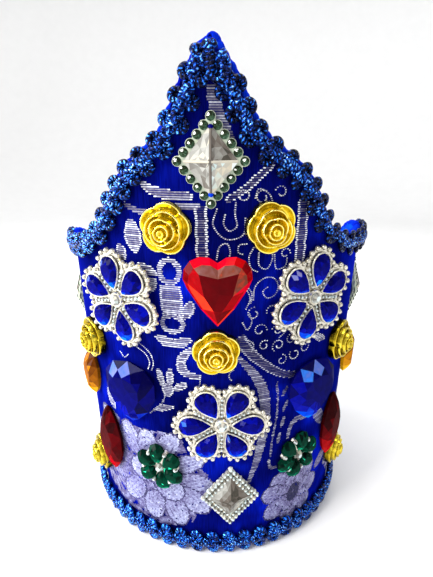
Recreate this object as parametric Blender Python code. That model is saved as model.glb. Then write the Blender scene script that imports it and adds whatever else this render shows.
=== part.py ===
"""Orisha crown: a tall stiff tube of blue brocade with a pointed front, trimmed with braid and stones.

Metres, +Z up. The front, with the tall point, faces -Y. The crown stands on the loops of its hem
braid at Z = 0. Places on the wall are given as an angle from the front, in degrees towards +X, and
a height above the floor.
"""

import math

import bmesh
import bpy
from mathutils import Matrix, Vector

# The wall: a slightly flaring tube whose rim rises to a point at the front.
AXIS_Y = 0.0022
BASE_RADIUS = 0.0635
FLARE = 0.032
WALL_THICKNESS = 0.0024
WALL_BOTTOM = 0.0024
SEAT_GAP = 0.0003

# Height of the wall's edge at angles from the front, on the left side and on the right one.
RIM = (
    # angle, left height, right height
    (0.0, 0.2048, 0.2048),
    (1.8, 0.2038, 0.2036),
    (3.5, 0.2012, 0.2008),
    (6.2, 0.1964, 0.1958),
    (9.2, 0.1896, 0.1889),
    (12.3, 0.1822, 0.1820),
    (14.4, 0.1782, 0.1790),
    (18.5, 0.1740, 0.1750),
    (24.0, 0.1697, 0.1706),
    (29.0, 0.1634, 0.1660),
    (32.6, 0.1578, 0.1608),
    (36.2, 0.1516, 0.1540),
    (39.3, 0.1472, 0.1486),
    (43.0, 0.1436, 0.1448),
    (48.0, 0.1412, 0.1424),
    (56.0, 0.1396, 0.1414),
    (66.0, 0.1390, 0.1412),
    (76.0, 0.1382, 0.1412),
    (85.0, 0.1364, 0.1408),
    (92.0, 0.1332, 0.1394),
    (98.0, 0.1304, 0.1356),
    (105.0, 0.1276, 0.1292),
    (115.0, 0.1265, 0.1268),
    (180.0, 0.1265, 0.1265),
)

# Columns of the wall: a finer step where the rim climbs to the point.
COLUMN_STEPS = (
    # up to this angle, step
    (14.0, 1.0),
    (50.0, 2.0),
    (90.0, 4.0),
    (180.0, 6.0),
)

# The braid: a flat gimp with a row of loops along each edge.
BRAID_PITCH = 0.0070
TOP_BRAID_WIDTH = 0.0104
HEM_BRAID_WIDTH = 0.0116
BRAID_NOTCH = 0.0015
BRAID_BACK = 0.00045
BRAID_LOOP_HEIGHT = 0.0016
BRAID_RIDGE_HEIGHT = 0.0024
BRAID_OVERHANG = 0.0016
LOOP_SHOULDERS = (0.3, 0.7)
MITRE_SLIT = 0.0004
BRAID_CLEARANCE = 0.0006
TRIM_STEP = 0.0001

# Gold rose: rings from its base up to the bud, with five petals to a ring.
ROSE_PETALS = 5
ROSE_SIDES = 15
ROSE_RINGS = (
    # radius, height, lobe depth, turn in degrees
    (0.00870, 0.0000, 0.02, 0.0),
    (0.00910, 0.0016, 0.06, 0.0),
    (0.00720, 0.0026, 0.03, 18.0),
    (0.00730, 0.0041, 0.07, 36.0),
    (0.00470, 0.0044, 0.03, 54.0),
    (0.00430, 0.0058, 0.10, 72.0),
    (0.00170, 0.0062, 0.00, 90.0),
)
ROSES = (
    # name, angle, height, turn in degrees
    ("rose_upper_left", -12.9, 0.1478, 0.0),
    ("rose_upper_right", 17.1, 0.1482, 30.0),
    ("rose_middle", 1.5, 0.1015, 15.0),
    ("rose_side_left", -50.0, 0.0962, 40.0),
    ("rose_side_right", 54.0, 0.0945, 65.0),
    ("rose_low_left", -57.6, 0.0302, 10.0),
    ("rose_low_right", 65.0, 0.0298, 50.0),
)

# Blossom: a silver setting of six petals, each with a blue pear stone pointing to the middle.
BLOSSOM_PETALS = 6
PETAL_CENTRE = 0.0125
PETAL_RADIUS = 0.0078
PETAL_SIDES = 8
SETTING_THICKNESS = 0.0026
POCKET_DEPTH = 0.0014
HUB_RADIUS = 0.0034
HUB_HEIGHT = 0.0010
HUB_SIDES = 12
PETAL_STONE_WIDTH = 0.0079
PETAL_STONE_LENGTH = 0.0126
PETAL_STONE_MIDDLE = 0.0106
PETAL_STONE_HEIGHT = 0.0036
PETAL_STONE_SIDES = 10
BLOSSOMS = (
    # name, angle, height, turn in degrees
    ("blossom_left", -31.6, 0.1190, 12.0),
    ("blossom_right", 33.8, 0.1202, -10.0),
    ("blossom_front", 3.3, 0.0692, 30.0),
)

# Diamond: a lozenge frame with a shallow pocket that holds a four-way clear stone.
LOZENGE_WIDTH = 0.0258
LOZENGE_HEIGHT = 0.0320
LOZENGE_THICKNESS = 0.0024
LOZENGE_BORDER = 0.0032
LOZENGE_POCKET = 0.0010
LOZENGE_STONE_HEIGHT = 0.0042
LOZENGE_TABLE_SHARE = 0.16
LOZENGE_GIRDLE_SHARE = 0.30
DIAMONDS = (
    # name, angle, height
    ("diamond_top", 0.1, 0.1698),
    ("diamond_bottom", 6.6, 0.0330),
    ("diamond_side_left", -88.0, 0.1045),
    ("diamond_side_right", 88.0, 0.1085),
)

# Faceted stones glued straight to the wall.
HEART_WIDTH = 0.0246
HEART_HEIGHT = 0.0262
HEART_DEPTH = 0.0070
HEART_ANGLE = 1.9
HEART_LEVEL = 0.1256
HEART_LOBE_RADIUS = 0.0071
HEART_LOBE_STEPS = 8
DROP_SIDES = 14
# How sharply the stones narrow to their points: the petal stones, the pears and the pointed ovals.
PETAL_SHARPNESS = 1.0
PEAR_SHARPNESS = 0.7
OVAL_SHARPNESS = 0.6
DROPS = (
    # name, angle, height, width, length, depth, shape, material
    ("blue_drop_left", -30.0, 0.0785, 0.0263, 0.0285, 0.0060, "pear", "blue_glass"),
    ("blue_drop_right", 37.6, 0.0778, 0.0263, 0.0285, 0.0060, "pear", "blue_glass"),
    ("amber_drop_left", -57.0, 0.0750, 0.0160, 0.0225, 0.0046, "pear", "amber_glass"),
    ("amber_drop_right", 69.0, 0.0815, 0.0160, 0.0225, 0.0046, "pear", "amber_glass"),
    ("red_drop_left", -45.5, 0.0465, 0.0170, 0.0350, 0.0046, "oval", "red_glass"),
    ("red_drop_right", 55.5, 0.0500, 0.0170, 0.0350, 0.0046, "oval", "red_glass"),
)

# Green clusters: six small crystal petals in one piece.
CLUSTER_PETALS = 6
CLUSTER_PETAL_CENTRE = 0.0068
CLUSTER_PETAL_RADIUS = 0.0043
CLUSTER_SIDES = 8
CLUSTER_RINGS = (
    # share of the outline, height
    (0.94, 0.0000),
    (1.00, 0.0014),
    (0.76, 0.0036),
    (0.30, 0.0030),
)
CLUSTERS = (
    # name, angle, height, turn in degrees
    ("green_cluster_left", -20.0, 0.0440, 8.0),
    ("green_cluster_right", 34.0, 0.0460, -12.0),
)

# A cut stone's back and table as shares of its outline, and its girdle as a share of its depth.
BACK_SHARE = 0.92
TABLE_SHARE = 0.56
GIRDLE_SHARE = 0.34


def clear_scene():
    for obj in list(bpy.data.objects):
        bpy.data.objects.remove(obj, do_unlink=True)


def make_material(name, colour, roughness, metallic):
    material = bpy.data.materials.new(name)
    material.use_nodes = True
    shader = material.node_tree.nodes["Principled BSDF"]
    shader.inputs["Base Color"].default_value = (*colour, 1.0)
    shader.inputs["Roughness"].default_value = roughness
    shader.inputs["Metallic"].default_value = metallic
    return material


def brocade():
    return make_material("brocade", (0.01, 0.01, 0.42), 0.45, 0.0)


def blue_braid():
    return make_material("blue_braid", (0.01, 0.06, 0.45), 0.35, 0.6)


def gold():
    return make_material("gold", (0.90, 0.62, 0.10), 0.28, 1.0)


def silver_setting():
    return make_material("silver_setting", (0.78, 0.76, 0.68), 0.30, 0.9)


def clear_crystal():
    return make_material("clear_crystal", (0.80, 0.80, 0.78), 0.08, 0.0)


def blue_glass():
    return make_material("blue_glass", (0.01, 0.03, 0.60), 0.08, 0.0)


def red_glass():
    return make_material("red_glass", (0.55, 0.01, 0.02), 0.08, 0.0)


def amber_glass():
    return make_material("amber_glass", (0.80, 0.35, 0.02), 0.10, 0.0)


def green_glass():
    return make_material("green_glass", (0.00, 0.16, 0.07), 0.10, 0.0)


def rim_height(angle):
    """Height of the wall's edge, on a smooth curve through the rows of RIM."""
    side = 1 if angle < 0 else 2
    angle = min(abs(angle), RIM[-1][0])
    last = len(RIM) - 1
    row = max(i for i in range(last) if RIM[i][0] <= angle)

    def slope(i):
        if i in (0, last):
            return 0.0
        return (RIM[i + 1][side] - RIM[i - 1][side]) / (RIM[i + 1][0] - RIM[i - 1][0])

    start = RIM[row][side]
    end = RIM[row + 1][side]
    span = RIM[row + 1][0] - RIM[row][0]
    t = (angle - RIM[row][0]) / span
    return (
        start * (1 + 2 * t) * (1 - t) ** 2
        + slope(row) * span * t * (1 - t) ** 2
        + end * t * t * (3 - 2 * t)
        + slope(row + 1) * span * t * t * (t - 1)
    )


def wall_radius(height):
    return BASE_RADIUS + FLARE * height


def wall_point(angle, height, offset=0.0):
    """Point at an angle from the front, standing off the wall's outer face by offset."""
    turn = math.radians(angle)
    radius = wall_radius(height) + offset
    return Vector((radius * math.sin(turn), -radius * math.cos(turn), height))


def loft_ring(sections):
    """Closed solid that runs round through sections of equal point counts and joins its start."""
    mesh = bmesh.new()
    rows = [[mesh.verts.new(point) for point in section] for section in sections]
    for first, second in zip(rows, rows[1:] + rows[:1]):
        for i in range(len(first)):
            j = (i + 1) % len(first)
            mesh.faces.new((first[i], first[j], second[j], second[i]))
    return mesh


def loft_stack(rings):
    """Closed solid through a stack of rings, with a flat cap below and above."""
    mesh = bmesh.new()
    rows = [[mesh.verts.new(point) for point in ring] for ring in rings]
    for low, high in zip(rows, rows[1:]):
        for i in range(len(low)):
            j = (i + 1) % len(low)
            mesh.faces.new((low[i], low[j], high[j], high[i]))
    mesh.faces.new(list(reversed(rows[0])))
    mesh.faces.new(rows[-1])
    return mesh


def add_object(name, mesh, material, parent, smooth_angle=30.0):
    """Object from a bmesh whose faces are turned outwards."""
    bmesh.ops.remove_doubles(mesh, verts=mesh.verts, dist=1e-7)
    bmesh.ops.recalc_face_normals(mesh, faces=mesh.faces)
    data = bpy.data.meshes.new(name)
    mesh.to_mesh(data)
    mesh.free()
    data.materials.append(material)
    data.shade_smooth()
    data.set_sharp_from_angle(angle=math.radians(smooth_angle))
    obj = bpy.data.objects.new(name, data)
    bpy.context.scene.collection.objects.link(obj)
    obj.parent = parent
    return obj


def seat(angle, height, turn=0.0):
    """Frame of a flat-backed piece on the wall: its X goes round, its Y up and its Z outwards."""
    lean = math.atan(FLARE)
    round_front = Matrix.Rotation(math.radians(angle), 3, "Z")
    out = round_front @ Vector((0, -math.cos(lean), -math.sin(lean)))
    across = round_front @ Vector((1, 0, 0))
    frame = Matrix((across, out.cross(across), out)).transposed().to_4x4()
    place = Matrix.Translation(wall_point(angle, height) + out * SEAT_GAP)
    return place @ frame @ Matrix.Rotation(math.radians(turn), 4, "Z")


def column_angles():
    """Angles of the wall's columns, all the way round."""
    half = [0.0]
    for limit, step in COLUMN_STEPS:
        while half[-1] < limit - step / 2:
            half.append(min(half[-1] + step, limit))
    return [-angle for angle in reversed(half[1:-1])] + half


def build_wall(parent):
    sections = []
    for angle in column_angles():
        top = rim_height(angle)
        sections.append(
            (
                wall_point(angle, WALL_BOTTOM),
                wall_point(angle, top),
                wall_point(angle, top, -WALL_THICKNESS),
                wall_point(angle, WALL_BOTTOM, -WALL_THICKNESS),
            )
        )
    add_object("crown_wall", loft_ring(sections), brocade(), parent)


def flat_rim_path(radius):
    """The rim unrolled on a plane, as pairs of distance round the wall and height, from back to back."""
    angles = [step / 2 for step in range(-360, 361)]
    return [(math.radians(angle) * radius, rim_height(angle)) for angle in angles]


def loop_stations(path):
    """Notches and shoulders of the loops along a path: place, inward normal, and whether it is a notch."""
    lengths = [math.hypot(b[0] - a[0], b[1] - a[1]) for a, b in zip(path, path[1:])]
    total = sum(lengths)
    loops = round(total / BRAID_PITCH)
    front = sum(length for length, point in zip(lengths, path) if point[0] < 0) / total
    shift = (front * loops + 0.5) % 1.0
    marks = []
    for loop in range(loops):
        for share in (0.0, *LOOP_SHOULDERS):
            marks.append(((loop + shift + share) / loops % 1.0, share == 0.0))
    stations = []
    walked = 0.0
    i = 0
    for mark, is_notch in sorted(marks):
        while walked + lengths[i] < mark * total:
            walked += lengths[i]
            i += 1
        t = (mark * total - walked) / lengths[i]
        (x0, y0), (x1, y1) = path[i], path[i + 1]
        normal = ((y1 - y0) / lengths[i], -(x1 - x0) / lengths[i])
        stations.append(((x0 + (x1 - x0) * t, y0 + (y1 - y0) * t), normal, is_notch))
    return stations


def braid_sections(stations, radius, width, overhang, is_clear):
    """Cross-sections of a braid: two looped edges and a raised middle, laid on the wall."""
    sections = []
    for (x, y), (nx, ny), is_notch in stations:
        notch = BRAID_NOTCH if is_notch else 0.0
        out = notch - overhang
        reach = width - overhang - notch
        while not is_clear(x, (x + nx * reach, y + ny * reach)):
            reach -= TRIM_STEP
        profile = (
            (out, BRAID_BACK),
            (out, BRAID_BACK + BRAID_LOOP_HEIGHT),
            ((out + reach) / 2, BRAID_BACK + BRAID_RIDGE_HEIGHT),
            (reach, BRAID_BACK + BRAID_LOOP_HEIGHT),
            (reach, BRAID_BACK),
        )
        sections.append(
            [wall_point(math.degrees((x + nx * step) / radius), y + ny * step, off) for step, off in profile]
        )
    return sections


def is_clear_of_ornaments(x, y, radius):
    """Whether a place on the unrolled wall stands clear of the blossoms and the diamonds."""
    reach = PETAL_CENTRE + PETAL_RADIUS + BRAID_CLEARANCE
    for _, angle, height, _ in BLOSSOMS:
        if math.hypot(x - math.radians(angle) * radius, y - height) < reach:
            return False
    for _, angle, height in DIAMONDS:
        across = abs(x - math.radians(angle) * radius) / (LOZENGE_WIDTH / 2 + BRAID_CLEARANCE)
        if across + abs(y - height) / (LOZENGE_HEIGHT / 2 + BRAID_CLEARANCE) < 1:
            return False
    return True


def build_top_braid(parent):
    radius = wall_radius(RIM[-1][1])

    def is_clear(start_x, place):
        side = math.copysign(1.0, start_x)
        return place[0] * side > MITRE_SLIT / 2 and is_clear_of_ornaments(*place, radius)

    stations = loop_stations(flat_rim_path(radius))
    sections = braid_sections(stations, radius, TOP_BRAID_WIDTH, BRAID_OVERHANG, is_clear)
    add_object("top_braid", loft_ring(sections), blue_braid(), parent)


def build_hem_braid(parent):
    radius = wall_radius(HEM_BRAID_WIDTH / 2)
    half = math.pi * radius
    hem = loop_stations([(-half, 0.0), (0.0, 0.0), (half, 0.0)])
    stations = [(place, (0.0, 1.0), is_notch) for place, _, is_notch in hem]
    sections = braid_sections(stations, radius, HEM_BRAID_WIDTH, 0.0, lambda start_x, place: True)
    add_object("hem_braid", loft_ring(sections), blue_braid(), parent)


def build_roses(parent):
    material = gold()
    for name, angle, height, turn in ROSES:
        rings = []
        for radius, rise, lobe, ring_turn in ROSE_RINGS:
            ring = []
            for side in range(ROSE_SIDES):
                around = math.tau * side / ROSE_SIDES
                swell = 1 + lobe * math.cos(ROSE_PETALS * around + math.radians(ring_turn))
                ring.append((radius * swell * math.cos(around), radius * swell * math.sin(around), rise))
            rings.append(ring)
        rose = add_object(name, loft_stack(rings), material, parent, 35.0)
        rose.matrix_local = seat(angle, height, turn)


def petal_outline(petals, centre, radius, sides):
    """Outline of a round-petalled blossom, with the first petal pointing up."""
    points = []
    for petal in range(petals):
        axis = math.pi / 2 + math.tau * petal / petals
        for side in range(sides):
            off = (side / sides - 0.5) * math.tau / petals
            reach = centre * math.cos(off) + math.sqrt(radius**2 - (centre * math.sin(off)) ** 2)
            points.append((reach * math.cos(axis + off), reach * math.sin(axis + off)))
    return points


def pear_outline(width, length, sides, sharpness, is_oval=False):
    """Outline of a stone about its middle: a pear with its point at -Y, or an oval pointed at both ends."""
    turns = [math.tau * side / sides for side in range(sides)]
    across = [math.sin(t) * abs(math.sin(t if is_oval else t / 2)) ** sharpness for t in turns]
    fullest = max(across)
    return [(x / fullest * width / 2, -math.cos(t) * length / 2) for x, t in zip(across, turns)]


def heart_outline():
    """Outline of a heart about its middle: two round lobes, and straight sides down to a point at -Y."""
    radius = HEART_LOBE_RADIUS
    lobe_x = HEART_WIDTH / 2 - radius
    lobe_y = HEART_HEIGHT / 2 - radius
    drop = lobe_y + HEART_HEIGHT / 2
    start = math.pi - math.acos(lobe_x / radius)
    end = math.atan2(drop, lobe_x) - math.asin(radius / math.hypot(lobe_x, drop)) - math.pi / 2
    right = []
    for step in range(1, HEART_LOBE_STEPS + 1):
        turn = start + (end - start) * step / HEART_LOBE_STEPS
        right.append((lobe_x + radius * math.cos(turn), lobe_y + radius * math.sin(turn)))
    notch = (0.0, lobe_y + radius * math.sin(start))
    left = [(-x, y) for x, y in right]
    return [notch, *left, (0.0, -HEART_HEIGHT / 2), *reversed(right)]


def cut_stone(outline, depth):
    """Closed stone: a flat back, a low girdle and a crown of facets up to a flat table."""
    levels = ((BACK_SHARE, 0.0), (1.0, GIRDLE_SHARE * depth), (TABLE_SHARE, depth))
    return loft_stack([[(x * share, y * share, rise) for x, y in outline] for share, rise in levels])


def prism(outline, low, high):
    return loft_stack([[(x, y, rise) for x, y in outline] for rise in (low, high)])


def petal_places():
    """Matrices that carry a pear stone to each petal, its point towards the middle."""
    for petal in range(BLOSSOM_PETALS):
        turn = Matrix.Rotation(math.tau * petal / BLOSSOM_PETALS, 4, "Z")
        yield turn @ Matrix.Translation((0, PETAL_STONE_MIDDLE, 0))


def petal_pockets(name, parent):
    """Hidden cutter: six pear-shaped prisms, a little larger than the stones."""
    room = 2 * SEAT_GAP
    width = PETAL_STONE_WIDTH + room
    outline = pear_outline(width, PETAL_STONE_LENGTH + room, PETAL_STONE_SIDES, PETAL_SHARPNESS)
    cutter_mesh = bmesh.new()
    for place in petal_places():
        pocket = prism(outline, SETTING_THICKNESS - POCKET_DEPTH, 2 * SETTING_THICKNESS)
        bmesh.ops.transform(pocket, matrix=place, verts=pocket.verts)
        data = bpy.data.meshes.new("pocket")
        pocket.to_mesh(data)
        pocket.free()
        cutter_mesh.from_mesh(data)
        bpy.data.meshes.remove(data)
    cutter = add_object(name + "_pockets", cutter_mesh, silver_setting(), parent)
    hide_cutter(cutter)
    return cutter


def circle(radius, sides):
    turns = [math.tau * side / sides for side in range(sides)]
    return [(radius * math.cos(turn), radius * math.sin(turn)) for turn in turns]


def hide_cutter(cutter):
    cutter.hide_render = True
    cutter.display_type = "WIRE"


def build_blossoms(parent):
    metal = silver_setting()
    glass = blue_glass()
    plate_outline = petal_outline(BLOSSOM_PETALS, PETAL_CENTRE, PETAL_RADIUS, PETAL_SIDES)
    size = (PETAL_STONE_WIDTH, PETAL_STONE_LENGTH)
    stone_outline = pear_outline(*size, PETAL_STONE_SIDES, PETAL_SHARPNESS)
    stone_base = SETTING_THICKNESS - POCKET_DEPTH + SEAT_GAP
    for name, angle, height, turn in BLOSSOMS:
        place = seat(angle, height, turn)
        setting = add_object(name + "_setting", prism(plate_outline, 0.0, SETTING_THICKNESS), metal, parent)
        setting.matrix_local = place
        pockets = petal_pockets(name, parent)
        hub_mesh = prism(circle(HUB_RADIUS, HUB_SIDES), SETTING_THICKNESS / 2, SETTING_THICKNESS + HUB_HEIGHT)
        hub = add_object(name + "_hub", hub_mesh, metal, parent)
        hide_cutter(hub)
        for tool, operation in ((hub, "UNION"), (pockets, "DIFFERENCE")):
            tool.matrix_local = place
            cut = setting.modifiers.new(tool.name, "BOOLEAN")
            cut.object = tool
            cut.operation = operation
            cut.solver = "EXACT"
        for petal, petal_place in enumerate(petal_places()):
            stone_mesh = cut_stone(stone_outline, PETAL_STONE_HEIGHT)
            stone = add_object(f"{name}_stone_{petal + 1}", stone_mesh, glass, parent, 10.0)
            stone.matrix_local = place @ petal_place @ Matrix.Translation((0, 0, stone_base))


def lozenge(inset=0.0):
    """A diamond's outline moved inwards by inset: its corners and the middles of its sides."""
    slant = math.hypot(LOZENGE_WIDTH, LOZENGE_HEIGHT)
    half_width = LOZENGE_WIDTH / 2 - inset * slant / LOZENGE_HEIGHT
    half_height = LOZENGE_HEIGHT / 2 - inset * slant / LOZENGE_WIDTH
    corners = ((half_width, 0.0), (0.0, half_height), (-half_width, 0.0), (0.0, -half_height))
    points = []
    for (x0, y0), (x1, y1) in zip(corners, corners[1:] + corners[:1]):
        points += [(x0, y0), ((x0 + x1) / 2, (y0 + y1) / 2)]
    return points


def diamond_frame():
    """Lozenge plate with a pocket sunk into its face."""
    outer = lozenge()
    inner = lozenge(LOZENGE_BORDER)
    floor = LOZENGE_THICKNESS - LOZENGE_POCKET
    levels = ((outer, 0.0), (outer, LOZENGE_THICKNESS), (inner, LOZENGE_THICKNESS), (inner, floor))
    return loft_stack([[(x, y, rise) for x, y in outline] for outline, rise in levels])


def diamond_stone():
    """Clear stone of four slopes, split at the middles of its sides, with a small table."""
    outline = lozenge(LOZENGE_BORDER + SEAT_GAP)
    girdle = LOZENGE_GIRDLE_SHARE * LOZENGE_STONE_HEIGHT
    levels = ((1.0, 0.0), (1.0, girdle), (LOZENGE_TABLE_SHARE, LOZENGE_STONE_HEIGHT))
    return loft_stack([[(x * share, y * share, rise) for x, y in outline] for share, rise in levels])


def build_diamonds(parent):
    metal = silver_setting()
    crystal = clear_crystal()
    lift = Matrix.Translation((0, 0, LOZENGE_THICKNESS - LOZENGE_POCKET + SEAT_GAP))
    for name, angle, height in DIAMONDS:
        frame = add_object(name + "_frame", diamond_frame(), metal, parent)
        frame.matrix_local = seat(angle, height)
        stone = add_object(name + "_stone", diamond_stone(), crystal, parent, 5.0)
        stone.matrix_local = seat(angle, height) @ lift


def build_heart(parent):
    heart = add_object("heart_stone", cut_stone(heart_outline(), HEART_DEPTH), red_glass(), parent, 10.0)
    heart.matrix_local = seat(HEART_ANGLE, HEART_LEVEL)


def build_drops(parent):
    glass = {"blue_glass": blue_glass(), "amber_glass": amber_glass(), "red_glass": red_glass()}
    for name, angle, height, width, length, depth, shape, material in DROPS:
        is_oval = shape == "oval"
        sharpness = OVAL_SHARPNESS if is_oval else PEAR_SHARPNESS
        outline = pear_outline(width, length, DROP_SIDES, sharpness, is_oval)
        drop = add_object(name, cut_stone(outline, depth), glass[material], parent, 10.0)
        drop.matrix_local = seat(angle, height)


def build_clusters(parent):
    glass = green_glass()
    outline = petal_outline(CLUSTER_PETALS, CLUSTER_PETAL_CENTRE, CLUSTER_PETAL_RADIUS, CLUSTER_SIDES)
    for name, angle, height, turn in CLUSTERS:
        rings = [[(x * share, y * share, rise) for x, y in outline] for share, rise in CLUSTER_RINGS]
        cluster = add_object(name, loft_stack(rings), glass, parent, 10.0)
        cluster.matrix_local = seat(angle, height, turn)


def main():
    clear_scene()
    crown = bpy.data.objects.new("crown", None)
    bpy.context.scene.collection.objects.link(crown)
    crown.location = (0.0, AXIS_Y, 0.0)
    build_wall(crown)
    build_top_braid(crown)
    build_hem_braid(crown)
    build_roses(crown)
    build_blossoms(crown)
    build_diamonds(crown)
    build_heart(crown)
    build_drops(crown)
    build_clusters(crown)


main()
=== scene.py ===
"""Looks of the orisha crown: brocade, metallic braid, gold roses, jewelled blossoms and cut stones.

Metres, +Z up, front towards -Y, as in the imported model. Places on the wall are an angle from the
front, in degrees towards +X, and a height above the floor.
"""

import math
import random

import bpy
import numpy as np
from mathutils import Matrix, Vector


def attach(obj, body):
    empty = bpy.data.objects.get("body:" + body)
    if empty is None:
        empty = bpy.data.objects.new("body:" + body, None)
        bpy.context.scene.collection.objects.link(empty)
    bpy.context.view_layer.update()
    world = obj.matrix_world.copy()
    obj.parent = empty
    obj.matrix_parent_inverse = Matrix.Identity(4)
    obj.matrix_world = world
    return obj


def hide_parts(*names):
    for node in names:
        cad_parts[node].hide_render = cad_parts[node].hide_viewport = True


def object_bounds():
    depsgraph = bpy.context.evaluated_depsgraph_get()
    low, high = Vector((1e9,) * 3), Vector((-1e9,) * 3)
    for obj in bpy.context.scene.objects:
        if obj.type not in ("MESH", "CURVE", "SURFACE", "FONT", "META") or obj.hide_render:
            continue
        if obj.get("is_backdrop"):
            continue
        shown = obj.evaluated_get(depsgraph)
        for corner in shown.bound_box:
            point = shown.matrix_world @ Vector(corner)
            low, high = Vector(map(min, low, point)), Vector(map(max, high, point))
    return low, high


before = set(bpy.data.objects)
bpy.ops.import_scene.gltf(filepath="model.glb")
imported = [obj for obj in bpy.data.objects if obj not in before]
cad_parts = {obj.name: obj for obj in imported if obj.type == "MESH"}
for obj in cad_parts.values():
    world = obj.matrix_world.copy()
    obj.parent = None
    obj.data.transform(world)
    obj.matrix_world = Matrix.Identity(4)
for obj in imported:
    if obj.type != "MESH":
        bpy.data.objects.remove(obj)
cad_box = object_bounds()

MM = 0.001

# The wall, as in the model.
AXIS = Vector((0.0, 0.0022, 0.0))
BASE_RADIUS = 0.0635
FLARE = 0.032
WALL_THICKNESS = 0.0024
WALL_BOTTOM = 0.0024
SEAT_GAP = 0.0003
RIM = (
    # angle, left height, right height
    (0.0, 0.2048, 0.2048),
    (1.8, 0.2038, 0.2036),
    (3.5, 0.2012, 0.2008),
    (6.2, 0.1964, 0.1958),
    (9.2, 0.1896, 0.1889),
    (12.3, 0.1822, 0.1820),
    (14.4, 0.1782, 0.1790),
    (18.5, 0.1740, 0.1750),
    (24.0, 0.1697, 0.1706),
    (29.0, 0.1634, 0.1660),
    (32.6, 0.1578, 0.1608),
    (36.2, 0.1516, 0.1540),
    (39.3, 0.1472, 0.1486),
    (43.0, 0.1436, 0.1448),
    (48.0, 0.1412, 0.1424),
    (56.0, 0.1396, 0.1414),
    (66.0, 0.1390, 0.1412),
    (76.0, 0.1382, 0.1412),
    (85.0, 0.1364, 0.1408),
    (92.0, 0.1332, 0.1394),
    (98.0, 0.1304, 0.1356),
    (105.0, 0.1276, 0.1292),
    (115.0, 0.1265, 0.1268),
    (180.0, 0.1265, 0.1265),
)

# The braid: coiled cords that loop along both edges, and a plait along the middle.
BRAID_PITCH = 0.0070
TOP_BRAID_WIDTH = 0.0104
HEM_BRAID_WIDTH = 0.0116
BRAID_OVERHANG = 0.0016
BRAID_BACK = 0.00045
BRAID_CLEARANCE = 0.0006
CORD_RADIUS = 0.00112
CORD_FLATTEN = 0.85
CORD_STEP = 0.00033
CORD_SIDES = 8
COIL_PITCH = 0.00125
COIL_PLIES = 2
LOOP_SWING = 0.0032
LOOP_CROSSING = 0.57
LOOP_WEAVE = 0.00050
# Painted light on the braid loops: how far their tone rises towards the left of the crown.
LOOP_PAINTED_LIGHT = 0.17
LOOP_FINENESS = 0.005
FILL_POINTS = 7
FILL_START = 0.10
FILL_LENGTH = 0.60
FILL_THINNEST = 0.35
FILL_COIL = 0.004
TIP_DRAW = 0.60
TIP_SPREAD = 12
TIP_SHARPNESS = 6
TIP_BARE = (-0.5, 1.5)
TIP_CURL = 0.12
PLAIT_STRANDS = 3
PLAIT_RADIUS = 0.00080
PLAIT_SWING = 0.00140
PLAIT_PERIOD = 0.0120
PLAIT_LIFT = 0.0022
PLAIT_WEAVE = 0.00042
PLAIT_STEP = 0.00040
PLAIT_FINENESS = 0.0003
PLAIT_SIDES = 6
# Radius, step, sides and flattening of each kind of cord.
CORD = (CORD_RADIUS, CORD_STEP, CORD_SIDES, CORD_FLATTEN)
PLAIT = (PLAIT_RADIUS, PLAIT_STEP, PLAIT_SIDES, 1.0)

# The ornaments, as in the model.
ROSES = (
    # name, angle, height, turn in degrees
    ("rose_upper_left", -12.9, 0.1478, 0.0),
    ("rose_upper_right", 17.1, 0.1482, 30.0),
    ("rose_middle", 1.5, 0.1015, 15.0),
    ("rose_side_left", -50.0, 0.0962, 40.0),
    ("rose_side_right", 54.0, 0.0945, 65.0),
    ("rose_low_left", -57.6, 0.0302, 10.0),
    ("rose_low_right", 65.0, 0.0298, 50.0),
)
BLOSSOMS = (
    # name, angle, height, turn in degrees
    ("blossom_left", -31.6, 0.1190, 12.0),
    ("blossom_right", 33.8, 0.1202, -10.0),
    ("blossom_front", 3.3, 0.0692, 30.0),
)
DIAMONDS = (
    # name, angle, height
    ("diamond_top", 0.1, 0.1698),
    ("diamond_bottom", 6.6, 0.0330),
    ("diamond_side_left", -88.0, 0.1045),
    ("diamond_side_right", 88.0, 0.1085),
)
HEART_PLACE = (1.9, 0.1256)
DROPS = (
    # name, angle, height, width, length, depth, shape, glass
    ("blue_drop_left", -30.0, 0.0785, 0.0263, 0.0285, 0.0060, "pear", "blue"),
    ("blue_drop_right", 37.6, 0.0778, 0.0263, 0.0285, 0.0060, "pear", "blue"),
    ("amber_drop_left", -57.0, 0.0750, 0.0160, 0.0225, 0.0046, "pear", "amber"),
    ("amber_drop_right", 69.0, 0.0815, 0.0160, 0.0225, 0.0046, "pear", "amber"),
    ("red_drop_left", -45.5, 0.0465, 0.0170, 0.0350, 0.0046, "oval", "red"),
    ("red_drop_right", 55.5, 0.0500, 0.0170, 0.0350, 0.0046, "oval", "red"),
)
CLUSTERS = (
    # name, angle, height, turn in degrees
    ("green_cluster_left", -20.0, 0.0440, 8.0),
    ("green_cluster_right", 34.0, 0.0460, -12.0),
)


def wall_radius(height):
    return BASE_RADIUS + FLARE * height


def rim_height(angle):
    """Height of the wall's edge, on a smooth curve through the rows of RIM."""
    side = 1 if angle < 0 else 2
    angle = min(abs(angle), RIM[-1][0])
    last = len(RIM) - 1
    row = max(i for i in range(last) if RIM[i][0] <= angle)

    def slope(i):
        if i in (0, last):
            return 0.0
        return (RIM[i + 1][side] - RIM[i - 1][side]) / (RIM[i + 1][0] - RIM[i - 1][0])

    start = RIM[row][side]
    end = RIM[row + 1][side]
    span = RIM[row + 1][0] - RIM[row][0]
    t = (angle - RIM[row][0]) / span
    return (
        start * (1 + 2 * t) * (1 - t) ** 2
        + slope(row) * span * t * (1 - t) ** 2
        + end * t * t * (3 - 2 * t)
        + slope(row + 1) * span * t * t * (t - 1)
    )


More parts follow.
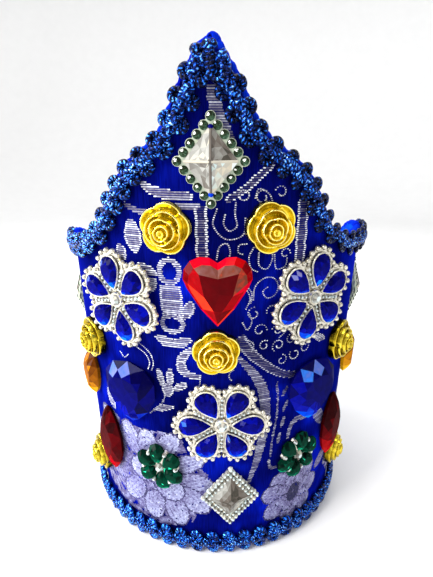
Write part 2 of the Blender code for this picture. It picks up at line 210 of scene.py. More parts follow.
def wall_points(angles, heights, offsets=0.0):
    """World points at angles in degrees and heights, standing off the wall's outer face."""
    turns = np.radians(np.asarray(angles, float))
    heights = np.asarray(heights, float)
    radii = wall_radius(heights) + offsets
    x = radii * np.sin(turns) + AXIS.x
    y = -radii * np.cos(turns) + AXIS.y
    return np.stack([x, y, heights + 0 * x], axis=-1)


def shift(x, y, z):
    return Matrix.Translation((x, y, z))


def spin(degrees):
    return Matrix.Rotation(math.radians(degrees), 4, "Z")


def seat(angle, height, turn=0.0):
    """World frame of a flat-backed piece on the wall: X goes round, Y up and Z outwards."""
    lean = math.atan(FLARE)
    round_front = Matrix.Rotation(math.radians(angle), 3, "Z")
    out = round_front @ Vector((0, -math.cos(lean), -math.sin(lean)))
    across = round_front @ Vector((1, 0, 0))
    basis = Matrix((across, out.cross(across), out)).transposed().to_4x4()
    foot = Vector(wall_points(angle, height)) + out * SEAT_GAP
    return Matrix.Translation(foot) @ basis @ spin(turn)


# Meshes.


class Shape:
    """Points and faces gathered from several parts, with a tone for each face."""

    def __init__(self, *first):
        self.points, self.faces, self.tones, self.coils = [], [], [], []
        if first:
            self.add(*first)

    def add(self, points, faces, tones=0.5, coils=None):
        start = len(self.points)
        self.points.extend(tuple(point) for point in points)
        self.coils.extend(coils if coils is not None else [0.0] * len(points))
        self.faces.extend(tuple(start + i for i in face) for face in faces)
        self.tones.extend([tones] * len(faces) if isinstance(tones, float) else tones)

    def place(self, matrix, other):
        """Adds another shape, carried by a matrix."""
        self.add([matrix @ Vector(point) for point in other.points], other.faces, other.tones)


def make_piece(name, shape, material, replaced=(), matrix=None, smooth_angle=30.0):
    """Object from a shape, riding on the crown's body."""
    mesh = bpy.data.meshes.new(name)
    matrix = matrix or Matrix.Identity(4)
    mesh.from_pydata([tuple(matrix @ Vector(point)) for point in shape.points], [], shape.faces)
    mesh.materials.append(material)
    tone = mesh.attributes.new("tone", "FLOAT", "FACE")
    tone.data.foreach_set("value", np.clip(np.array(shape.tones, float), 0.0, 1.0))
    if any(shape.coils):
        mesh.attributes.new("coil", "FLOAT", "POINT").data.foreach_set("value", shape.coils)
    if smooth_angle > 0:
        mesh.shade_smooth()
        mesh.set_sharp_from_angle(angle=math.radians(smooth_angle))
    piece = bpy.data.objects.new(name, mesh)
    bpy.context.scene.collection.objects.link(piece)
    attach(piece, "root")
    if replaced:
        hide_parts(*replaced)
    return piece


def circle(radius, sides, turn=0.0):
    turns = [math.tau * side / sides + turn for side in range(sides)]
    return [(radius * math.cos(t), radius * math.sin(t)) for t in turns]


def stack_faces(sides, rings, closed_low=True, closed_high=True):
    faces = []
    for ring in range(rings - 1):
        for i in range(sides):
            j = (i + 1) % sides
            low = ring * sides
            faces.append((low + i, low + j, low + sides + j, low + sides + i))
    if closed_low:
        faces.append(tuple(reversed(range(sides))))
    if closed_high:
        faces.append(tuple(range((rings - 1) * sides, rings * sides)))
    return faces


def stack(outline, levels):
    """Points and faces of an outline scaled and raised level by level: pairs of share and height."""
    points = [(x * share, y * share, rise) for share, rise in levels for x, y in outline]
    return points, stack_faces(len(outline), len(levels))


def tube(centres, radii, ups, sides, flatten=1.0):
    """Points and faces of a closed-ended tube along centres, its section kept upright by ups."""
    centres = np.asarray(centres)
    tangents = np.gradient(centres, axis=0)
    tangents /= np.linalg.norm(tangents, axis=1, keepdims=True) + 1e-12
    across = np.cross(tangents, ups)
    across /= np.linalg.norm(across, axis=1, keepdims=True) + 1e-12
    lift = np.cross(across, tangents) * flatten
    turns = (np.arange(sides) + 0.5) / sides * math.tau - math.pi / 2
    ring = across[:, None] * np.cos(turns)[None, :, None] + lift[:, None] * np.sin(turns)[None, :, None]
    points = centres[:, None] + ring * np.asarray(radii)[:, None, None]
    return points.reshape(-1, 3), stack_faces(sides, len(centres))


# Materials.


class Paint:
    """A material, and the kinds of node that it is made of."""

    def __init__(self, name):
        self.material = bpy.data.materials.new(name)
        self.material.use_nodes = True
        self.nodes = self.material.node_tree.nodes

    def feed(self, node, values):
        """Gives a node's inputs, by name or number, their values or the outputs that they follow."""
        for key, value in values.items():
            if isinstance(value, bpy.types.NodeSocket):
                self.material.node_tree.links.new(value, node.inputs[key])
            else:
                node.inputs[key].default_value = value

    def node(self, kind, output, values, **settings):
        """Output of a new node."""
        node = self.nodes.new("ShaderNode" + kind)
        for key, value in settings.items():
            setattr(node, key, value)
        self.feed(node, values)
        return node.outputs[output]

    def math(self, operation, *values):
        return self.node("Math", 0, dict(enumerate(values)), operation=operation)

    def ramp(self, source, stops):
        """Colour ramp over a value, from rows of position and linear colour."""
        node = self.nodes.new("ShaderNodeValToRGB")
        elements = node.color_ramp.elements
        while len(elements) < len(stops):
            elements.new(0.5)
        for element, (position, colour) in zip(elements, stops):
            element.position = position
            element.color = (*colour, 1.0)
        self.feed(node, {"Fac": source})
        return node.outputs["Color"]

    def coordinates(self, stretch=(1.0, 1.0, 1.0)):
        """Object coordinates stretched by a scale along each axis."""
        place = self.node("TexCoord", "Object", {})
        return self.node("Mapping", "Vector", {"Vector": place, "Scale": stretch})

    def noise(self, scale, detail=2.0, *stretch):
        values = {"Vector": self.coordinates(*stretch), "Scale": scale, "Detail": detail}
        return self.node("TexNoise", "Fac", values)

    def attribute(self, name="tone"):
        return self.node("Attribute", "Fac", {}, attribute_name=name)

    def bump(self, height, strength, distance):
        return self.node("Bump", "Normal", {"Height": height, "Strength": strength, "Distance": distance})

    def finish(self, values):
        """The material, with the inputs of its surface set."""
        self.feed(self.nodes["Principled BSDF"], values)
        return self.material


# Satin blues over soft clouds: the lower stops are the cloth's uneven blue, the top stop paints broad
# highlights.
GROUND_BLUE = ((0.34, (0.001, 0.002, 0.065)), (0.54, (0.0015, 0.004, 0.18)), (0.72, (0.002, 0.016, 0.66)))
EDGE_BLUE = ((0.34, (0.002, 0.006, 0.30)), (0.72, (0.004, 0.060, 0.95)))
# Brighter azure copy of the satin for the inside of the wall: painted light where the inside catches the
# light.
LIT_LINING_BLUE = ((0.30, (0.003, 0.040, 0.65)), (0.72, (0.006, 0.160, 1.00)))
WARP_SHADE = ((0.3, (0.45, 0.45, 0.55)), (0.7, (1.0, 1.0, 1.0)))
THREAD_SCALE = 2600.0


def satin(name, stops):
    """Royal blue satin: fine warp lines, soft colour clouds whose brightest patches are painted highlights,
    slight puckers and a silky gloss.
    """
    paint = Paint(name)
    warp = paint.noise(THREAD_SCALE, 1.0, (1.0, 1.0, 0.05))
    weft = paint.noise(THREAD_SCALE, 1.0, (0.05, 0.05, 1.0))
    pucker = paint.noise(46.0, 1.0, (1.0, 1.0, 0.35))
    # Cloud colour, with painted highlights in its brightest patches, times the darker and lighter warp
    # threads.
    shades = {0: 1.0, 6: paint.ramp(paint.noise(34.0, 3.0), stops), 7: paint.ramp(warp, WARP_SHADE)}
    relief = paint.math("MULTIPLY_ADD", pucker, 9.0, paint.math("ADD", warp, weft))
    return paint.finish({
        "Base Color": paint.node("Mix", 2, shades, data_type="RGBA", blend_type="MULTIPLY"),
        "Roughness": 0.45,
        "Metallic": 0.08,
        "Specular IOR Level": 0.0,
        "Specular Tint": (0.15, 0.20, 1.0, 1.0),
        "Sheen Weight": 0.30,
        "Sheen Roughness": 0.40,
        "Sheen Tint": (0.01, 0.03, 1.0, 1.0),
        "Normal": paint.bump(relief, 0.35, 0.00012),
    })


SILVER_GREY = (
    (0.12, (0.020, 0.020, 0.080)),
    (0.45, (0.135, 0.125, 0.190)),
    (0.75, (0.380, 0.385, 0.480)),
    (1.00, (0.850, 0.870, 0.900)),
)
SILVER_LAVENDER = (
    (0.12, (0.007, 0.007, 0.045)),
    (0.45, (0.130, 0.110, 0.260)),
    (0.75, (0.380, 0.400, 0.640)),
    (1.00, (0.800, 0.840, 0.960)),
)


def silver_thread(name, stops):
    """Floats of the brocade: bright where the tone is high."""
    paint = Paint(name)
    grain = paint.noise(900.0, 1.0)
    value = paint.math("MULTIPLY_ADD", grain, 0.5, paint.attribute())
    return paint.finish({
        "Base Color": paint.ramp(paint.math("SUBTRACT", value, 0.15), stops),
        "Metallic": 0.35,
        "Roughness": 0.38,
        "Specular IOR Level": 0.15,
        "Sheen Weight": 0.05,
        "Normal": paint.bump(grain, 0.4, 0.0001),
    })


PAINTED_GLINT_CELLS = 1500.0
# Thread colours by value: the darkest stops are painted shade in the grooves, the brightest are painted
# glints.
THREAD_STOPS = {
    "coiled_thread": (
        (0.10, (0.0002, 0.0010, 0.010)),
        (0.42, (0.0006, 0.0050, 0.050)),
        (0.58, (0.0015, 0.0240, 0.220)),
        (0.74, (0.0060, 0.1500, 0.850)),
        (0.90, (0.1500, 0.5500, 1.000)),
    ),
    "plaited_thread": (
        (0.10, (0.0005, 0.003, 0.03)),
        (0.36, (0.0015, 0.015, 0.15)),
        (0.52, (0.0050, 0.080, 0.60)),
        (0.70, (0.0300, 0.300, 1.00)),
        (0.88, (0.4500, 0.780, 1.00)),
    ),
    "hem_thread": (
        (0.06, (0.0004, 0.0020, 0.025)),
        (0.28, (0.0012, 0.0180, 0.170)),
        (0.44, (0.0020, 0.0700, 0.620)),
        (0.62, (0.0060, 0.2200, 1.000)),
        (0.86, (0.1500, 0.6000, 1.000)),
    ),
}


def painted_glint_thread(name):
    """Metallic thread wound round a cord: slanted turns, with painted shade in the grooves and painted
    glints on some turns.
    """
    paint = Paint(name)
    cells = paint.node("TexVoronoi", "Color", {"Vector": paint.coordinates(), "Scale": PAINTED_GLINT_CELLS})
    red, green, blue = (paint.node("SeparateColor", band, {"Color": cells}) for band in range(3))
    wave = paint.math("SINE", paint.math("MULTIPLY", paint.attribute("coil"), math.tau))
    value = paint.math("MULTIPLY_ADD", paint.noise(240.0), 0.8, -0.40)
    # Painted glints and shade: random cells and the crests of the turns lift the value, the grooves between
    # turns lower it.
    value = paint.math("MULTIPLY_ADD", red, 0.62, value)
    value = paint.math("MULTIPLY_ADD", wave, 0.24, value)
    # Adds the tone, which carries painted light on the loops, lighter towards the left of the crown.
    value = paint.math("ADD", value, paint.math("SUBTRACT", paint.attribute(), 0.5))
    return paint.finish({
        "Base Color": paint.ramp(value, THREAD_STOPS[name]),
        "Roughness": paint.math("MULTIPLY_ADD", green, 0.30, 0.16),
        "Metallic": 0.85,
        "Normal": paint.bump(paint.math("MULTIPLY_ADD", blue, 0.4, wave), 0.8, 0.00022),
    })


# Gold from olive painted shade in the creases to pale painted highlight on the lips.
GOLD_STOPS = (
    (0.08, (0.160, 0.115, 0.005)),
    (0.34, (0.560, 0.410, 0.022)),
    (0.54, (0.840, 0.660, 0.065)),
    (0.80, (0.980, 0.860, 0.320)),
)
CHAMPAGNE_STOPS = ((0.30, (0.42, 0.39, 0.32)), (0.60, (0.72, 0.69, 0.60)), (0.85, (0.92, 0.90, 0.82)))


def gold_leaf():
    """Polished gold: painted highlight on the lips of the petals and painted shade in their creases, from
    the tone, with a fine moulded grain.
    """
    paint = Paint("gold_leaf")
    cloud = paint.noise(260.0, 3.0)
    value = paint.math("ADD", paint.attribute(), paint.math("MULTIPLY_ADD", cloud, 0.24, -0.12))
    return paint.finish({
        "Base Color": paint.ramp(value, GOLD_STOPS),
        "Roughness": paint.math("MULTIPLY_ADD", cloud, 0.12, 0.14),
        "Metallic": 1.0,
        "Normal": paint.bump(paint.noise(900.0, 1.0), 0.03, 0.0001),
    })


def champagne_metal():
    """Pale champagne silver plating, its colour and roughness varying in soft clouds."""
    paint = Paint("champagne_metal")
    cloud = paint.noise(500.0, 3.0)
    return paint.finish({
        "Base Color": paint.ramp(cloud, CHAMPAGNE_STOPS),
        "Roughness": paint.math("MULTIPLY_ADD", cloud, 0.2, 0.18),
        "Metallic": 0.9,
        "Normal": paint.bump(paint.noise(2500.0, 2.0), 0.25, 0.0001),
    })


# Stone colours by tone: the brighter stops carry the painted glow and painted highlights of the facets.
GLASS_STOPS = {
    "blue": (
        (0.00, (0.0005, 0.0003, 0.030)),
        (0.28, (0.0008, 0.0010, 0.120)),
        (0.50, (0.0010, 0.0040, 0.360)),
        (0.70, (0.0020, 0.0700, 0.820)),
        (0.82, (0.0060, 0.3000, 1.000)),
        (0.91, (0.0250, 0.1100, 0.500)),
        (1.00, (0.1700, 0.1600, 0.340)),
    ),
    "red": (
        (0.00, (0.020, 0.0003, 0.001)),
        (0.28, (0.110, 0.0005, 0.002)),
        (0.48, (0.420, 0.0010, 0.003)),
        (0.66, (0.720, 0.0020, 0.020)),
        (0.80, (1.000, 0.0320, 0.009)),
        (0.90, (0.150, 0.0380, 0.022)),
        (1.00, (0.210, 0.0950, 0.100)),
    ),
    "amber": (
        (0.00, (0.06, 0.012, 0.001)),
        (0.28, (0.24, 0.070, 0.002)),
        (0.50, (0.56, 0.210, 0.003)),
        (0.76, (1.00, 0.540, 0.006)),
        (1.00, (1.00, 0.780, 0.250)),
    ),
    "green": (
        (0.00, (0.0003, 0.004, 0.003)),
        (0.28, (0.0005, 0.030, 0.016)),
        (0.48, (0.0008, 0.075, 0.040)),
        (0.74, (0.0020, 0.300, 0.140)),
        (1.00, (0.0200, 0.650, 0.360)),
    ),
    "clear": (
        (0.00, (0.030, 0.031, 0.024)),
        (0.22, (0.120, 0.100, 0.085)),
        (0.42, (0.230, 0.225, 0.205)),
        (0.60, (0.380, 0.380, 0.355)),
        (0.76, (0.600, 0.540, 0.420)),
        (0.88, (0.480, 0.620, 0.620)),
        (1.00, (0.900, 0.900, 0.900)),
    ),
    "bead": (
        (0.00, (0.006, 0.008, 0.004)),
        (0.28, (0.018, 0.027, 0.013)),
        (0.50, (0.055, 0.120, 0.070)),
        (0.72, (0.260, 0.400, 0.300)),
        (0.86, (0.620, 0.620, 0.500)),
        (1.00, (0.980, 1.000, 0.950)),
    ),
}


def cut_glass(colour):
    """Foil-backed cut stone: each facet has its own tone, which paints the light and highlights in the
    stone, under a clear, sharp gloss.
    """
    paint = Paint(colour + "_stone")
    cloud = paint.math("MULTIPLY_ADD", paint.noise(420.0), 0.14, -0.07)
    return paint.finish({
        "Base Color": paint.ramp(paint.math("ADD", paint.attribute(), cloud), GLASS_STOPS[colour]),
        "Roughness": 0.10,
        "Specular IOR Level": 0.0,
        "Coat Weight": 0.07,
        "Coat Roughness": 0.06,
        "Coat IOR": 1.45,
    })


# The wall.

WALL_COLUMN_STEP = 1.5
WALL_ROWS = 48
RIM_ROUND = 0.0006
NUB_RISE = 0.0012
NUB_SPREAD = 1.1


def build_wall(material, lining):
    """Tube with a rounded edge at the rim, its cloth pinched into a small nub at the point."""
    angles = np.arange(-180.0, 180.0, WALL_COLUMN_STEP)
    nub = NUB_RISE * np.exp(-((angles / NUB_SPREAD) ** 2))
    tops = np.array([rim_height(angle) for angle in angles]) + nub
    rise = tops - RIM_ROUND - WALL_BOTTOM
    sides = [WALL_BOTTOM + rise * share for share in np.linspace(0.0, 1.0, WALL_ROWS)]
    rows = [wall_points(angles, heights) for heights in sides]
    rows += [wall_points(angles, tops, -inset) for inset in (RIM_ROUND, WALL_THICKNESS - RIM_ROUND)]
    rows += [wall_points(angles, heights, -WALL_THICKNESS) for heights in reversed(sides)]
    count = len(angles)
    points = np.concatenate(rows)
    grid = stack_faces(count, len(rows) + 1, False, False)
    faces = [tuple(i % len(points) for i in face) for face in grid]
    shape = Shape(points, faces)
    wall = make_piece("satin_wall", shape, material, ("crown_wall",), smooth_angle=50.0)
    # The inner faces take the brighter copy of the satin, painted light on the inside of the wall.
    wall.data.materials.append(lining)
    for face in wall.data.polygons[(WALL_ROWS + 1) * count : -count]:
        face.material_index = 1


# The brocade's woven figures, each filled with rows of floating threads.

THREAD_SEED = 7
PATTERN_RADIUS = 0.0662
ROW_PITCH = 0.00078
ROW_WIDTH = 0.00042
ROW_LIFT = 0.00014
ROW_JITTER = 0.00028
DASH_STEP = 0.00076
DASH_LENGTH = 0.00050
DASH_WIDTH = 0.00038
DASH_TONE = 0.82
DASH_TONE_SPREAD = (-0.25, 0.1)
EDGE_LENGTH = 0.00085
PATTERN_TURNS = (0.0, 120.0, 240.0)

RIBBONS = (
    # style, then rows of angle, height in mm, width in mm
    ("silver", ((-20.6, 163.5, 1.4), (-18, 161, 3), (-14, 159.4, 3.6), (-10, 158.8, 3.2), (-5, 158.6, 2.4))),
    ("dull", ((-27, 155.5, 1.6), (-22, 153.2, 2.2), (-17, 153, 2.2), (-12, 154.8, 2.4), (-3, 155.6, 2.2))),
    ("edged", ((-2.8, 155.5, 4.2), (-2.7, 146, 4.2), (-2.6, 134, 4.2))),
    ("dull", ((0.6, 192, 3.6), (0.8, 188, 3.6), (2.8, 182, 3.6), (5.5, 175, 3.4))),
    ("edged", ((4, 157, 2.2), (9, 160.6, 2.8), (13, 164.6, 2.8), (17.5, 169.6, 2.4))),
    ("edged", ((28, 157, 4.4), (28.1, 146, 4.4), (28, 133, 4.4))),
    ("dotted", (
        (8.6, 107, 4.6), (12, 101, 4.4), (16, 96, 4), (20.5, 91.6, 3.6), (26, 88, 3.2), (32, 86.2, 2.8),
    )),
    ("dull", (
        (8.4, 98.5, 1.6), (12.5, 93, 3), (16, 87, 4), (18.3, 80.5, 4.4), (19, 73, 4.4),
        (19, 65, 4.2), (18.2, 57, 4), (17, 49, 3.4), (15.2, 42, 2.4), (13.6, 36, 1.4),
    )),
    ("silver", ((-3.8, 101.6, 1.6), (-7.6, 100.6, 3), (-10.2, 96, 3.8), (-9.2, 91.4, 3.6), (-3.6, 89.4, 2))),
    ("thin", ((23, 85, 0.9), (23.8, 77, 0.9), (23.8, 68, 0.9), (22.6, 57, 0.9), (22.4, 48, 0.9))),
    ("dull", ((29.6, 55, 1.4), (30.4, 61, 2.4), (33.4, 63.8, 2.8), (38.5, 62.6, 1.6))),
    ("silver", ((-23.2, 69.4, 0.8), (-20.2, 72.8, 0.8), (-17.8, 76, 0.8), (-16.4, 80, 0.8))),
    ("silver", ((-20.6, 71.6, 1.4), (-17.6, 73.4, 3), (-13.6, 74.6, 1))),
    ("dull", ((21.6, 47.5, 0.8), (22.6, 42.6, 1.6), (25.6, 41.4, 1.2))),
)

LEAVES = (
    # style, angle, height, length, width in mm, turn in degrees from upright
    ("silver", -24.6, 144.0, 12.5, 7.2, 6),
    ("silver", -29.6, 137.5, 6.5, 4.6, 20),
    ("silver", -20.4, 132.0, 9.5, 4.0, 70),
    ("silver", -19.2, 126.2, 7.0, 4.4, -30),
    ("silver", -17.9, 87.4, 8.6, 3.0, 14),
    ("silver", -14.5, 88.0, 9.4, 3.0, -6),
    ("silver", -11.0, 84.6, 6.8, 3.2, -60),
    ("silver", -15.4, 82.4, 6.0, 5.2, 0),
    ("silver", -7.4, 117.5, 8.0, 4.6, -26),
    ("silver", -44.4, 67.5, 10.5, 5.6, 24),
    ("dull", 26.6, 80.0, 6.0, 1.8, -24),
    ("dull", 27.2, 72.6, 6.0, 1.8, -20),
    ("dull", 26.6, 65.0, 6.0, 1.8, -16),
    ("dull", 25.4, 57.0, 6.0, 1.8, -10),
    ("dull", 47.0, 58.5, 17.0, 6.0, 42),
    ("silver", -37.5, 105.0, 8.0, 3.6, 30),
    ("silver", 41.0, 100.0, 9.0, 3.4, 62),
)

RINGS = (
    # style, angle, height, outer half width and half height in mm, thickness in mm
    ("silver", -12.9, 132.0, 4.7, 5.3, 2.1),
    ("silver", -12.6, 111.6, 5.0, 4.2, 1.8),
)

BLOCKS = (
    # style, then corners of angle and height in mm
    ("silver", ((-16.2, 127), (-9.6, 127), (-8.8, 121), (-10, 114.6), (-15.6, 114.6), (-16.6, 121))),
    ("silver", (
        (-19.6, 105.6), (-16.6, 106.8), (-12.6, 105.2), (-8.6, 106.8),
        (-5.8, 105.6), (-9, 102), (-16.4, 102),
    )),
)

FLOWER_PETALS = (
    # style, angle, height, length, width in mm, turn in degrees from upright
    ("shaded", -45.5, 52.0, 24.0, 13.0, 52),
    ("pale", -34.0, 52.5, 18.0, 11.0, 18),
    ("pale", -26.0, 53.0, 15.0, 11.0, -8),
    ("pale", -17.0, 54.5, 16.0, 10.0, -34),
    ("pale", -9.6, 46.5, 18.0, 9.0, -64),
    ("pale", -5.8, 37.5, 16.0, 9.0, -104),
    ("pale", -7.2, 27.0, 18.0, 12.0, -132),
    ("pale", -14.5, 20.0, 18.0, 12.0, -165),
    ("pale", -24.5, 19.5, 18.0, 12.0, 168),
    ("pale", -34.5, 24.0, 19.0, 12.0, 138),
    ("shaded", -43.0, 30.0, 20.0, 11.0, 112),
    ("shaded", -41.0, 40.5, 20.0, 10.0, 82),
    ("pale", -17.5, 32.0, 17.0, 14.0, -120),
    ("pale", -28.5, 38.0, 17.0, 14.0, 100),
    ("lilac", 53.0, 31.0, 13.0, 7.0, -62),
    ("lilac", 33.2, 34.0, 13.0, 10.4, 8),
    ("lilac", 28.0, 31.4, 13.0, 11.0, 42),
    ("lilac", 25.2, 26.0, 14.0, 11.0, 76),
    ("lilac", 26.4, 17.0, 14.0, 11.4, 122),
    ("lilac", 33.4, 12.6, 13.0, 11.0, 174),
    ("lilac", 41.4, 14.2, 13.0, 10.4, -144),
    ("lilac", 44.6, 22.0, 13.0, 11.0, -96),
    ("lilac", 41.4, 31.0, 14.0, 11.0, -46),
)
FLOWER_EYE = (35.0, 22.8)

SCROLLS = (
    # angle, height in mm, radius in mm, start in degrees, sweep in degrees, share of the radius at its end
    (9.2, 159.0, 1.7, 0, 350, 1.0),
    (14.6, 158.2, 2.4, 60, 320, 0.5),
    (20.2, 159.8, 2.2, 160, -300, 0.5),
    (22.4, 152.0, 2.6, 200, -330, 0.5),
    (22.8, 138.2, 2.0, 0, 300, 0.5),
    (13.4, 116.0, 2.6, 90, 320, 0.4),
    (19.6, 116.6, 2.4, 200, -320, 0.4),
    (15.6, 109.0, 2.8, 0, 330, 0.35),
    (21.8, 108.2, 2.4, 160, -330, 0.4),
    (17.4, 102.4, 2.2, 60, 330, 0.4),
    (22.6, 101.6, 2.8, 230, -400, 0.3),
    (27.4, 103.4, 2.2, 90, 300, 0.5),
    (24.2, 94.8, 2.4, 80, -330, 0.35),
    (29.4, 96.2, 2.6, 150, 300, 0.5),
    (33.6, 98.2, 2.2, 0, -300, 0.5),
    (8.0, 90.4, 2.6, 110, 120, 1.0),
)

DOTTED_LINES = (
    # rows of angle and height in mm
    ((1.7, 154.5), (0.6, 149), (4.2, 144.2), (9.2, 145.5), (9.8, 151.5)),
    ((4, 152.5), (3.6, 149.4), (5.2, 147), (7.4, 148.6), (6.8, 152.6), (7, 157)),
    ((12.5, 158), (13.5, 161), (16.7, 159), (18, 155)),
    ((1.6, 137), (2.4, 141.4), (4.6, 142.6), (5.6, 139.6), (5, 136.6)),
    ((10.4, 142.4), (8.2, 142), (8, 139.4), (9.6, 138.6)),
    ((12.5, 141), (11.2, 137.5), (12, 133.5), (14.2, 132)),
    ((14.2, 139), (14.4, 134.5), (17, 133), (18.6, 137), (17.6, 141)),
    ((19.2, 138), (20, 132.8), (23, 133.4), (23.6, 137)),
    ((9.6, 130), (11, 126.6), (12.5, 124), (12.2, 120)),
    (
        (13, 121.5), (13.4, 126.4), (16, 129.4), (19.2, 129.4), (21, 126.4),
        (20.2, 122.8), (17.5, 121.8), (16, 124.4), (17.7, 126.2),
    ),
    ((10.8, 118), (12, 122), (10.6, 126)),
    ((9.8, 112.6), (11.4, 109.6), (12.8, 112.6), (12, 116)),
    ((24.6, 112), (25, 107.4), (22.6, 104.8)),
    ((10.6, 106), (13.6, 103.6), (13, 100)),
    ((-26.6, 102), (-22, 98.3), (-20.4, 93.9), (-21.4, 89.6)),
    ((-27.2, 99.4), (-23.4, 97), (-21.9, 93.5), (-22.8, 90)),
    ((-35, 94.5), (-33, 92.6), (-31, 94.5)),
    ((-6.2, 82.6), (-4.2, 86), (-3.9, 90)),
)

TONE_SPREAD = 0.24
STYLES = {
    # style: inner tone, edge tone, thread width in mm
    "silver": (0.58, 0.82, 0.46),
    # dull: the silver floats painted darker, as shade on the figures towards the right.
    "dull": (0.46, 0.62, 0.50),
    "edged": (0.16, 0.86, 0.40),
    "dotted": (0.22, 0.66, 0.40),
    "thin": (0.40, 0.40, 0.46),
}
BRIGHT_ENDED = ("silver", "edged", "dotted")

CURVE_STEPS = 8
LEAF_SIDES = 22
LEAF_FULLNESS = 0.75
RING_SIDES = 28
ROW_FOOT = 0.00003
SHORTEST_ROW = 0.0003
LONGEST_STRAIGHT = 0.003
HEM_MARGIN = 0.002
RIM_MARGIN = 0.003


def smooth_line(rows):
    """Catmull-Rom curve through rows of numbers."""
    rows = [np.array(row, float) for row in rows]
    rows = [2 * rows[0] - rows[1], *rows, 2 * rows[-1] - rows[-2]]
    line = []
    for a, b, c, d in zip(rows, rows[1:], rows[2:], rows[3:]):
        for step in range(CURVE_STEPS):
            t = step / CURVE_STEPS
            curve = 2 * b + (c - a) * t + (2 * a - 5 * b + 4 * c - d) * t * t
            line.append((curve + (3 * b - a - 3 * c + d) * t**3) / 2)
    return [*line, rows[-2]]


def on_cloth(angle, height_mm):
    """Place on the unrolled cloth, in metres round and up."""
    return math.radians(angle) * PATTERN_RADIUS, height_mm * MM


def ribbon_contour(rows):
    line = smooth_line([(*on_cloth(angle, height), width * MM) for angle, height, width in rows])
    left, right = [], []
    for i, (x, y, width) in enumerate(line):
        before, after = line[max(i - 1, 0)], line[min(i + 1, len(line) - 1)]
        dx, dy = after[0] - before[0], after[1] - before[1]
        half = width / 2 / math.hypot(dx, dy)
        left.append((x - dy * half, y + dx * half))
        right.append((x + dy * half, y - dx * half))
    return left + right[::-1]


def leaf_contour(angle, height, length, width, turn):
    x, y = on_cloth(angle, height)
    cosine, sine = math.cos(math.radians(turn)), math.sin(math.radians(turn))
    contour = []
    for up, side in circle(1.0, LEAF_SIDES):
        across = side * (LEAF_FULLNESS + (1 - LEAF_FULLNESS) * abs(side)) * width / 2 * MM
        along = up * length / 2 * MM
        contour.append((x + across * cosine - along * sine, y + across * sine + along * cosine))
    return contour


def ellipse_contour(angle, height, half_width, half_height):
    x, y = on_cloth(angle, height)
    return [(x + px * half_width * MM, y + py * half_height * MM) for px, py in circle(1.0, RING_SIDES)]


def woven_figures():
    """Every figure as its style and the contours that bound it."""
    for style, rows in RIBBONS:
        yield style, [ribbon_contour(rows)]
    for style, *place in LEAVES:
        yield style, [leaf_contour(*place)]
    for style, angle, height, half_width, half_height, thickness in RINGS:
        outer = ellipse_contour(angle, height, half_width, half_height)
        inner = ellipse_contour(angle, height, half_width - thickness, half_height - thickness)
        yield style, [outer, inner]
    for style, corners in BLOCKS:
        yield style, [[on_cloth(angle, height) for angle, height in corners]]


def pairs(corners):
    """Neighbouring corners of a closed outline."""
    return zip(corners, corners[1:] + corners[:1])


def crossings(contours, level):
    """Where the contours cross a level, from left to right."""
    found = []
    for contour in contours:
        for (x0, y0), (x1, y1) in pairs(contour):
            if (y0 <= level) != (y1 <= level):
                found.append(x0 + (x1 - x0) * (level - y0) / (y1 - y0))
    return sorted(found)


def is_on_wall(x, level, turn):
    """Whether a place on the cloth is between the hem and the rim, with a little to spare."""
    angle = (math.degrees(x / PATTERN_RADIUS) + turn + 180) % 360 - 180
    return WALL_BOTTOM + HEM_MARGIN < level < rim_height(angle) - RIM_MARGIN


def lay_thread(shape, start, end, level, width, tone, turn):
    """One float: a thin raised strip from start to end along the cloth."""
    if not (is_on_wall(start, level, turn) and is_on_wall(end, level, turn)):
        return
    count = max(1, math.ceil((end - start) / LONGEST_STRAIGHT)) + 1
    angles = np.degrees(np.linspace(start, end, count) / PATTERN_RADIUS) + turn
    ridge = ((-width / 2, ROW_FOOT), (0.0, ROW_LIFT), (width / 2, ROW_FOOT))
    points = np.concatenate([wall_points(angles, level + drop, lift) for drop, lift in ridge])
    firsts = [row * count + i for row in range(2) for i in range(count - 1)]
    faces = [(first, first + 1, first + count + 1, first + count) for first in firsts]
    shape.add(points, faces, float(tone))


def weave_figure(shape, style, contours, turn, chance):
    inner, edge, width = STYLES[style]
    heights = [y for contour in contours for _, y in contour]
    for row in range(math.ceil(min(heights) / ROW_PITCH), math.floor(max(heights) / ROW_PITCH) + 1):
        level = row * ROW_PITCH
        ends = crossings(contours, level)
        for start, end in zip(ends[::2], ends[1::2]):
            start += chance.uniform(-ROW_JITTER, ROW_JITTER)
            end += chance.uniform(-ROW_JITTER, ROW_JITTER)
            if end - start < SHORTEST_ROW:
                continue
            tone = inner + chance.uniform(-TONE_SPREAD, TONE_SPREAD)
            if style in BRIGHT_ENDED and end - start > 3 * EDGE_LENGTH:
                lay_thread(shape, start, start + EDGE_LENGTH, level, ROW_WIDTH, edge, turn)
                lay_thread(shape, end - EDGE_LENGTH, end, level, ROW_WIDTH, edge, turn)
                start += EDGE_LENGTH
                end -= EDGE_LENGTH
            lay_thread(shape, start, end, level, width * MM, tone, turn)


def scroll_points(angle, height, radius, start, sweep, shrink):
    """Places of the dashes along one curl."""
    x, y = on_cloth(angle, height)
    length = math.radians(abs(sweep)) * radius * MM * (1 + shrink) / 2
    count = max(3, round(length / DASH_STEP))
    for i in range(count + 1):
        t = i / count
        turn = math.radians(start + sweep * t)
        reach = radius * MM * (1 + (shrink - 1) * t)
        yield x + reach * math.cos(turn), y + reach * math.sin(turn)


def line_points(rows):
    """Places of the dashes along one dotted line."""
    line = np.array(smooth_line([on_cloth(*row) for row in rows]))
    lengths = np.concatenate([[0.0], np.cumsum(np.hypot(*np.diff(line, axis=0).T))])
    marks = np.arange(0.0, lengths[-1], DASH_STEP)
    return zip(np.interp(marks, lengths, line[:, 0]), np.interp(marks, lengths, line[:, 1]))


